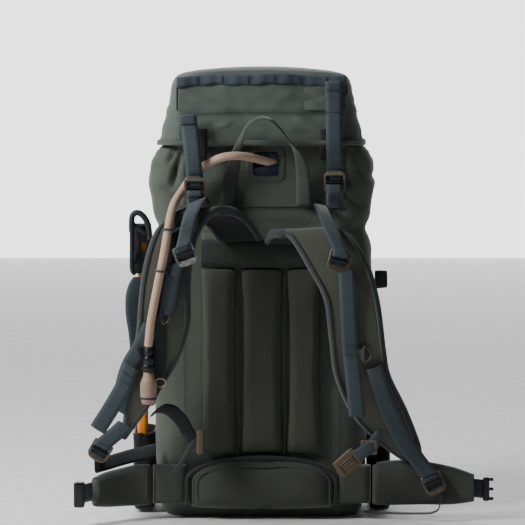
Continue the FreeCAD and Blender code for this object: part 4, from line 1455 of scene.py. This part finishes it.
def make_front_straps():
    """Straps that hold the lid down in front, with their side-release buckles."""
    for side, x in (("left", -72), ("right", 72)):
        first = side == "left"
        sew(f"lid_front_strap_{side}", [(x, 121, 598), (x, 129, 590), (x, 129.5, 562), (x, 127, 500),
                                        (x, 126.5, 420), (x, 125, 362)], "lid",
            "lid_front_straps" if first else None, steps=12)
        block(f"front_plug_{side}", (x - 12.5, 120, 345), (x + 12.5, 128.5, 366), "lid",
              "front_buckle_plugs" if first else None, radius=0.0022)
        for n, dx in enumerate((-8.5, 8.5)):
            block(f"front_prong_{side}_{n}", (x + dx - 2.2, 121.5, 320), (x + dx + 2.2, 126.2, 348), "lid")
        rim = 2.6
        left, right = x - 16, x + 16
        walls = (((left, 115.5, 300), (right, 118.5, 349)), ((left, 115.5, 300), (left + rim, 128.5, 349)),
                 ((right - rim, 115.5, 300), (right, 128.5, 349)), ((left, 115.5, 300), (right, 128.5, 307)))
        for n, (low, high) in enumerate(walls):
            node = "front_buckle_sockets" if first and n == 0 else None
            block(f"front_socket_{side}_{n}", low, high, "pack", node, radius=0.0009, segments=2)
        sew(f"front_anchor_{side}", [(x, 116.2, 236), (x, 117.5, 262), (x, 121, 290), (x, 121, 306)], steps=8)


# ---- sternum strap ------------------------------------------------------------------------------

SLANT = (0.75, 0, 0.66)


def make_sternum():
    """Both halves of the sternum strap: tan socket and tails left, slider and tan plug right."""
    sew("sternum_webbing_left", [(-152, -171, 172), (-144, -174, 173), (-134, -174, 170), (-120, -171, 156),
                                 (-110, -168, 138), (-104, -167, 128), (-97, -167, 124)],
        "sternum_left", "sternum_strap_left", "web_dark", 0.020, 0.0018, SLANT)
    sew("sternum_fold_left", [(-158, -168, 166), (-157, -174.5, 170), (-150, -176, 174), (-141, -176, 173)],
        "sternum_left", None, "web_dark", 0.020, 0.0022, SLANT, 8)
    sew("sternum_tail_left", [(-99, -170, 128), (-106, -172, 115), (-114, -172.5, 101), (-124, -172, 86),
                              (-133, -171, 76)], "sternum_left", None, "binding", 0.019, 0.0017,
        (0.66, 0, 0.5), 8)
    block("sternum_socket_shell", (-96.5, -179.5, 105.5), (-85.5, -155.5, 140.5), "sternum_left",
          "sternum_socket", "tan_clip", "tan_plastic", 0.0035, 4)
    for z in (110, 136):
        block(f"sternum_socket_ridge_{z}", (-97.2, -177, z - 1.2), (-84.8, -158, z + 1.2), "sternum_left",
              None, "tan_clip", "tan_plastic", 0.0008, 2)
    half = 0.0115
    outline = rounded_rectangle(-half, half, -0.0105, 0.0105, 0.002)
    slots = [rounded_rectangle(-0.0085, 0.0085, z, z + 0.006, 0.001) for z in (0.0015, -0.0075)]
    slider = plate_with_windows("sternum_slider_frame", outline, slots, 0.0030, "bronze",
                                lambda x, z: 0.0006 * math.cos(x / half * 1.3))
    slider.data.transform(Matrix.Translation((0.159, -0.1640, 0.114)))
    put(slider, "sternum_right", "buckle_metal", "sternum_slider")
    sew("sternum_webbing_right", [(176, -160, 132), (168, -163, 122), (160, -166.5, 114), (150, -166.5, 107),
                                  (140, -164, 101)], "sternum_right", None, "web", 0.019, 0.0018,
        (0.66, 0, -0.75), 8)
    plug = [("shell", (-18.5, -5, -15), (18.5, 4.6, 13.5), "tan_clip", 0.0034, 4)]
    for n, x in enumerate((-16.5, 16.5)):
        plug.append((f"wing_{n}", (x - 2.8, -4, -12.5), (x + 2.8, 3.6, 7.5), "tan_clip", 0.0018, 3))
    for n, z in enumerate((-6, -1.8, 2.4)):
        plug.append((f"rib_{n}", (-10, -6, z), (10, -4.4, z + 1.6), "tan_clip", 0.0006, 2))
    for n, x in enumerate((-11.8, 11.8)):
        plug.append((f"slot_{n}", (x - 0.9, -5.4, -12), (x + 0.9, -3, 4), "black", 0.0004, 2))
    place = frame_axes((127, -160, 91), SLANT, (0.66, 0, -0.75))
    for part, low, high, material, radius, segments in plug:
        node = "sternum_plug" if part == "shell" else None
        piece = block(f"sternum_plug_{part}", low, high, "sternum_right", node, material, "tan_plastic",
                      radius, segments)
        piece.data.transform(place)


# ---- hip belt -----------------------------------------------------------------------------------


def lumbar_half(z):
    """Half width of the lumbar pad: straight sides under a low arch."""
    if z < 0.058:
        return 0.112 - 0.010 * max(0.0, (0.022 - z) / 0.008) ** 2
    return max(0.020, 0.112 * math.sqrt(max(0.0, 1 - ((z - 0.058) / 0.0345) ** 2)))


def make_lumbar():
    """The lumbar cushion, bound round its arch and piped inside that."""
    rings = []
    rows, columns = 44, 60
    for front in (1, 0):
        for i in range(rows + 1):
            t = i / rows if front else 1 - i / rows
            z = 0.0145 + 0.0765 * t
            half = lumbar_half(z)
            ring = []
            for k in range(columns + 1):
                u = -1 + 2 * k / columns
                edge = (1 - abs(u) ** 6) ** 0.5 * (1 - abs(2 * t - 1) ** 6) ** 0.5
                x = u * half
                dish = 1 - 0.07 * math.cos(x * 21)
                ring.append(Vector((x, -0.1010 - 0.0345 * edge * dish * front, z)))
            rings.append(ring)
    pad = section_grid("lumbar_pad_cushion", rings, "lumbar_mesh", closed=False)
    close_seam(pad)
    puff(pad, voxel=0.004, cap=0.003)
    put(pad, "pack", "pad_fabric", "lumbar_pad")
    for name, y, inset, radius, material in (("lumbar_binding", -0.1200, 0.0, 0.0042, "web_dark"),
                                             ("lumbar_piping", -0.1325, 0.010, 0.0012, "binding")):
        half = 0.112 - inset
        arch = [(-half * math.cos(math.pi * i / 60), y, 0.058 + (0.034 - inset) * math.sin(math.pi * i / 60))
                for i in range(61)]
        left = [(-half, y, 0.058 - 0.012 * k) for k in range(3, 0, -1)]
        right = [(half, y, 0.058 - 0.012 * k) for k in range(1, 4)]
        put(tube_along(name, left + arch + right, radius, material, 10), "pack", "webbing")


def make_hip_belt():
    """Hip pads, the two wings with their webbing, and the open belt buckle's halves."""
    for side, x0, x1 in (("left", -0.1645, -0.1125), ("right", 0.1125, 0.1645)):
        pad = pillow(f"hip_side_{side}", x0, x1, -0.1110, -0.1250, 0.022, 0.082, "lumbar_mesh", 30, 26)
        put(pad, "pack", "pad_fabric", "hip_belt_sides" if side == "left" else None)
    left_low = mm([(-171.5, -125.2, 22), (-186, -128.5, 21.5), (-205, -137, 22), (-226, -152, 23),
                   (-243, -168, 26)])
    left_high = mm([(-171.5, -125.2, 82), (-186, -128.5, 81.5), (-205, -137, 78), (-226, -152, 74),
                    (-243, -168, 68)])
    right_low = mm([(172.5, -125, 22), (200, -125.5, 22), (240, -128, 23), (285, -133, 24), (318, -136, 29)])
    right_high = mm([(172.5, -125, 84), (200, -125.5, 88), (240, -128, 87), (285, -133, 79), (318, -136, 68)])
    for side, a_edge, b_edge, x, y in (("left", left_high, left_low, -172.8, -118.4),
                                       ("right", right_low, right_high, 172.8, -118.0)):
        padded_strap(f"hip_wing_pad_{side}", a_edge, b_edge, f"hip_wing_{side}", f"wing_{side}",
                     "pad_fabric", 0.014, 0.008, "lumbar_mesh", 0.003)
        roll = lathe(f"hip_wing_roll_{side}", [(0.5, 82), (4.2, 82), (5.9, 80.6), (6.5, 78.5), (6.7, 52),
                                               (6.5, 25.5), (5.9, 23.4), (4.2, 22), (0.5, 22)],
                     (x * MM, y * MM), "lumbar_mesh")
        put(roll, f"wing_{side}", "pad_fabric")
    sew("hip_webbing_left", [(-196, -120.5, 50), (-215, -127, 49), (-236, -141, 48), (-254, -158, 47),
                             (-264, -171, 46), (-268, -178, 46)], "wing_left", None, "web", 0.028, 0.0020,
        UP, 8)
    sew("hip_webbing_right", [(205, -110, 52), (242, -112.5, 50), (285, -117, 48), (318, -121, 47),
                              (334, -123.5, 46), (338, -124, 46)], "wing_right", None, "web", 0.028, 0.0020,
        UP, 8)
    block("hip_socket_shell", (-278, -196, 28), (-262, -175, 66), "wing_left", "hip_buckle_socket",
          radius=0.0042, segments=4)
    block("hip_plug_shell", (332, -128.5, 28), (342, -118.5, 64), "wing_right", "hip_buckle_plug",
          radius=0.0034, segments=4)
    for n, z in enumerate((31.5, 46, 60.5)):
        block(f"hip_plug_prong_{n}", (340, -126.2, z - 2.4), (348, -120.8, z + 2.4), "wing_right",
              radius=0.0014)


# ---- sides --------------------------------------------------------------------------------------


def pocket_ring(t, sign, count):
    """One level of a side pocket, from its floor at t 0 to its gathered hem at t 1."""
    z = 0.0045 + 0.1155 * t
    belly = 0.0022 * math.sin(math.pi * t)
    half_x, half_y = 0.0160 + belly * 0.3, 0.0610 + belly * 0.4
    if t < 0.08:
        half_x *= 0.86 + 0.14 * (t / 0.08) ** 0.5
        half_y *= 0.93 + 0.07 * (t / 0.08) ** 0.5
    ring = []
    for k, (p, normal) in enumerate(rounded_plan(half_x * 1000, -half_y * 1000, half_y * 1000, 12, count)):
        gather = bump_at(t, 0.95, 0.06) * 0.0010 * math.sin(k * 1.3)
        push = gather + 0.0008 * cloth_noise(Vector((p.x * MM, p.y * MM, z)), 34, 3.1)
        wave = 0.003 * math.sin(k * 0.11) if t > 0.9 else 0.0
        ring.append(Vector((p.x * MM + normal.x * push + sign * 0.1800, p.y * MM + normal.y * push,
                            z + wave)))
    return ring


def make_side_pockets():
    """Stretch pockets at both sides of the base, hemmed at the top."""
    count = 120
    for side, sign in SIDES:
        rings = [pocket_ring(i / 30, sign, count) for i in range(31)]
        pocket = section_grid(f"side_pocket_cloth_{side}", rings, "elastic", caps=False)

        def add_floor(work):
            work.verts.ensure_lookup_table()
            work.faces.new(work.verts[:count])

        edit_mesh(pocket, add_floor)
        thicken(pocket, 0.0016)
        put(pocket, "pack", "elastic_fabric", f"side_pocket_{side}")
        top = [p + Vector((0, 0, 0.0004)) for p in rings[-1]]
        put(tube_along(f"side_pocket_hem_{side}", top + top[:1], 0.0017, "web_dark", 8), "pack", "webbing")


def make_side_straps():
    """Compression webbing on both sides, its loose tail and a small tab."""
    for n, z in enumerate((220, 325)):
        sew(f"compression_left_{z}", [(-168, -71, z), (-186, -70, z), (-202, -62, z + 1),
                                      (-205.5, -30, z + 1), (-205, 10, z), (-190, 42, z), (-170, 60, z)],
            node="bag_webbing" if n == 0 else None, across=UP)
        sew(f"compression_right_{z}", [(168, -71, z), (171, -68, z), (172.5, -20, z), (172.5, 40, z),
                                       (168, 62, z)], across=UP)
    sew("compression_tail_left", [(-183, -72, 362), (-190, -77, 350), (-194, -81, 332), (-194, -81, 306),
                                  (-190, -78, 278), (-188, -75, 252), (-188, -74, 226)],
        across=(0.95, 0.3, 0))
    sew("side_tab_right", [(171, -74, 359), (178, -75, 359.5), (188, -75.5, 359), (189, -74.5, 358),
                           (187, -73, 358), (178, -72.5, 357), (171, -72, 357)], material="web_dark",
        thickness=0.0017, across=(0, 0.1, 1), steps=8)


HATCHET_X = -183           # middle of the haft, in millimetres
HATCHET_Y = -20


def hatchet_rings(table):
    """Upright levels of the haft from rows of height, half width and half depth."""
    return [[Vector(((p.x + HATCHET_X) * MM, (p.y + HATCHET_Y) * MM, z * MM))
             for p, _ in rounded_plan(half_x, -half_y, half_y, 6, 48)] for z, half_x, half_y in table]


def make_hatchet():
    """An orange haft with a black grip, and a steel head under the sheath."""
    haft = hatchet_rings(((8, 9, 15), (14, 9, 17), (40, 9, 19), (80, 8.6, 16.5), (120, 8, 14), (200, 7.8, 13),
                          (300, 7.5, 12), (372, 7.5, 12), (410, 7.2, 14), (436, 7, 16)))
    put(section_grid("hatchet_haft_moulding", haft, "orange"), "hatchet", "orange_plastic", "hatchet_haft")
    grip = hatchet_rings(((10, 9.4, 17.2), (40, 9.4, 19.4), (80, 9.0, 17.0), (104, 8.8, 15.2)))
    put(section_grid("hatchet_haft_grip", grip, "black"), "hatchet", "black_plastic")
    head = []                  # from the cutting edge back to the haft: Y, half width, low, high
    for y, half_x, low, high in ((-52, 0.4, 386, 434), (-44, 1.6, 390, 431), (-36, 5.2, 396, 428),
                                 (-20, 8.0, 398, 427), (-6, 7.6, 399, 426), (-4.5, 6.6, 401, 424)):
        middle, half_z = (low + high) / 2, (high - low) / 2
        head.append([Vector(((p.x + HATCHET_X) * MM, y * MM, (p.y + middle) * MM))
                     for p, _ in rounded_plan(half_x, -half_z, half_z, min(3, half_x * 0.9), 40)])
    put(section_grid("hatchet_head_forging", head, "steel"), "hatchet", "blade_steel", "hatchet_head")
    make_sheath()


def make_sheath():
    """A moulded sheath, open at the ends, with its window, rail and carry grip."""
    walls = (((-196, -58, 366), (-192.2, 0, 440)), ((-173.8, -58, 366), (-170, 0, 440)),
             ((-196, -4, 366), (-170, 0, 440)), ((-196, -58, 366), (-183.5, -53.5, 440)),
             ((-176.5, -58, 366), (-170, -53.5, 440)), ((-185, -58, 413), (-174, -53.5, 440)),
             ((-185, -58, 366), (-174, -53.5, 394)))
    for n, (low, high) in enumerate(walls):
        node = "hatchet_sheath" if n == 0 else None
        block(f"sheath_wall_{n}", low, high, "pack", node, "sheath", "elastic_fabric", 0.0014, 2)
    block("hatchet_guard", (-183.5, -53.5, 394), (-176.5, -52.2, 413), "hatchet", None, "orange",
          "orange_plastic", 0.0005, 2)
    wire("sheath_grip", [(-170, -62, 418), (-171.5, -66, 436), (-176, -68, 449), (-183, -69, 457),
                         (-190, -69, 459), (-195.5, -69, 455), (-197, -69, 446), (-197, -69, 430)],
         radius=0.0046, sides=12)
    wire("sheath_rail", [(-197, -69, 436), (-197, -69, 410), (-197, -68, 374), (-192, -66, 366)],
         radius=0.0034)
    wire("sheath_strut", [(-196, -67, 444), (-188, -67, 436), (-178, -66, 428), (-171, -63, 424)], steps=6)
    sew("sheath_band", [(-196.8, -30, 392), (-196.8, -58.6, 392), (-183, -59.2, 391), (-170, -58.6, 390)],
        material="web_dark", width=0.016, thickness=0.0014, across=UP, steps=6)


# ---- front and small parts ----------------------------------------------------------------------


def pocket_y(x, z):
    """Y of the front pocket's face."""
    u, v = x / 0.105, (z - 0.131) / 0.101
    edge = max(0.0, 1 - abs(u) ** 5) ** 0.45 * max(0.0, 1 - abs(v) ** 14) ** 0.45
    return 0.1130 + 0.0370 * edge


def make_front_pocket():
    """The front pocket with its rows of webbing, its zipper and both zipper sliders."""
    pocket = pillow("front_pocket_shell", -0.105, 0.105, 0.1130, 0.1500, 0.030, 0.232, "cloth", 70, 70,
                    lambda x, z: 1 + 0.02 * cloth_noise(Vector((x, 0, z)), 20, 4.0))
    put(pocket, "pack", "olive_fabric", "front_pocket")
    for z in (60, 98, 136):
        middle = (z + 12.5) * MM
        path = [(x, (pocket_y(x * MM, middle) + 0.0012) / MM, z + 12.5) for x in range(-90, 91, 10)]
        sew(f"gear_row_{z}", path, thickness=0.0017, across=UP, steps=2)
        for n, x in enumerate(range(-76, 77, 38)):
            line = [(x * MM, pocket_y(x * MM, middle) + 0.0022, (z + 1.5 + 2 * k) * MM) for k in range(12)]
            row = stitches(f"gear_bartack_{z}_{n}", line, "dark_thread", 0.0016, 0.0026, 0.0004)
            put(row, "pack", "webbing")
    track = [(x * MM, pocket_y(x * MM, 0.2095) + 0.0008, (209.5 + 2 * math.cos(x / 90 * 1.5)) * MM)
             for x in range(-88, 89, 4)]
    put(strip("front_zipper_tape", track, "web_dark", 0.016, 0.0012, (0, 0.1, 1), 2), "pack", "webbing")
    teeth = stitches("front_zipper_teeth", track, "black_bar", 0.0023, 0.0013, 0.0012, (0, 0.0012, 0))
    put(teeth, "pack", "buckle_metal")
    sliders = (
        ("front_slider_body", (-84, 150.4, 205.2), (-74, 153.8, 213.8), "front_zip", "front_zipper_slider"),
        ("front_slider_pull", (-81, 152, 187), (-77, 153.6, 207), "front_zip", None),
        ("lid_slider_body", (-96, 113, 624), (-86, 116.6, 632.5), "lid_zip", "lid_zipper_slider"),
        ("lid_slider_pull", (-93, 115, 606), (-89, 116.6, 626), "lid_zip", None),
    )
    for name, low, high, body, node in sliders:
        radius, segments = (0.0012, 3) if node else (0.0008, 2)
        block(name, low, high, body, node, "bronze", "buckle_metal", radius, segments)


def make_small_parts():
    """The drawcord's lock and the stiff parts inside the bag."""
    block("cord_lock_shell", (-9, 72.5, 588.5), (9, 87, 602), "pack", "cord_lock_body", radius=0.0034,
          segments=4)
    plunger = [(x * MM, 0.0800, 0.5952) for x in (-14.5, -13.8, -8, -3.5)]
    button = tube_along("cord_lock_plunger", plunger, 0.0041, "black", 20)
    put(button, "lock_button", "black_plastic", "cord_lock_button")
    block("frame_sheet_panel", (-112, -98.5, 50), (112, -96.6, 500), "pack", "frame_sheet", "sheet",
          "stiff_sheet", 0.0008, 2)
    for n, x in enumerate((-70, 70)):
        node = "frame_stays" if n == 0 else None
        block(f"frame_stay_{n}", (x - 12, -96.4, 54), (x + 12, -93.5, 496), "pack", node, "alu",
              "stay_aluminium", 0.0009)
    cap_line = [(0, y * MM, 0.440) for y in (-57, -56, -50, -45, -44)]
    cap = tube_along("bladder_cap", cap_line, 0.026, "black", 36)
    put(cap, "pack", "black_plastic")


make_stage()
hose = make_hose()
valve_pieces = make_valve()
make_bag()
make_port()
make_port_folds()
make_lid()
make_lid_back()
make_hem()
make_lid_trim()
make_mouth()
make_inner_parts()
make_back_panel()
make_handle()
make_shoulder_straps()
make_harness_webbing()
make_ladder_locks()
make_d_rings()
make_rear_straps()
make_front_straps()
make_sternum()
make_lumbar()
make_hip_belt()
make_side_pockets()
make_side_straps()
make_hatchet()
make_front_pocket()
make_small_parts()
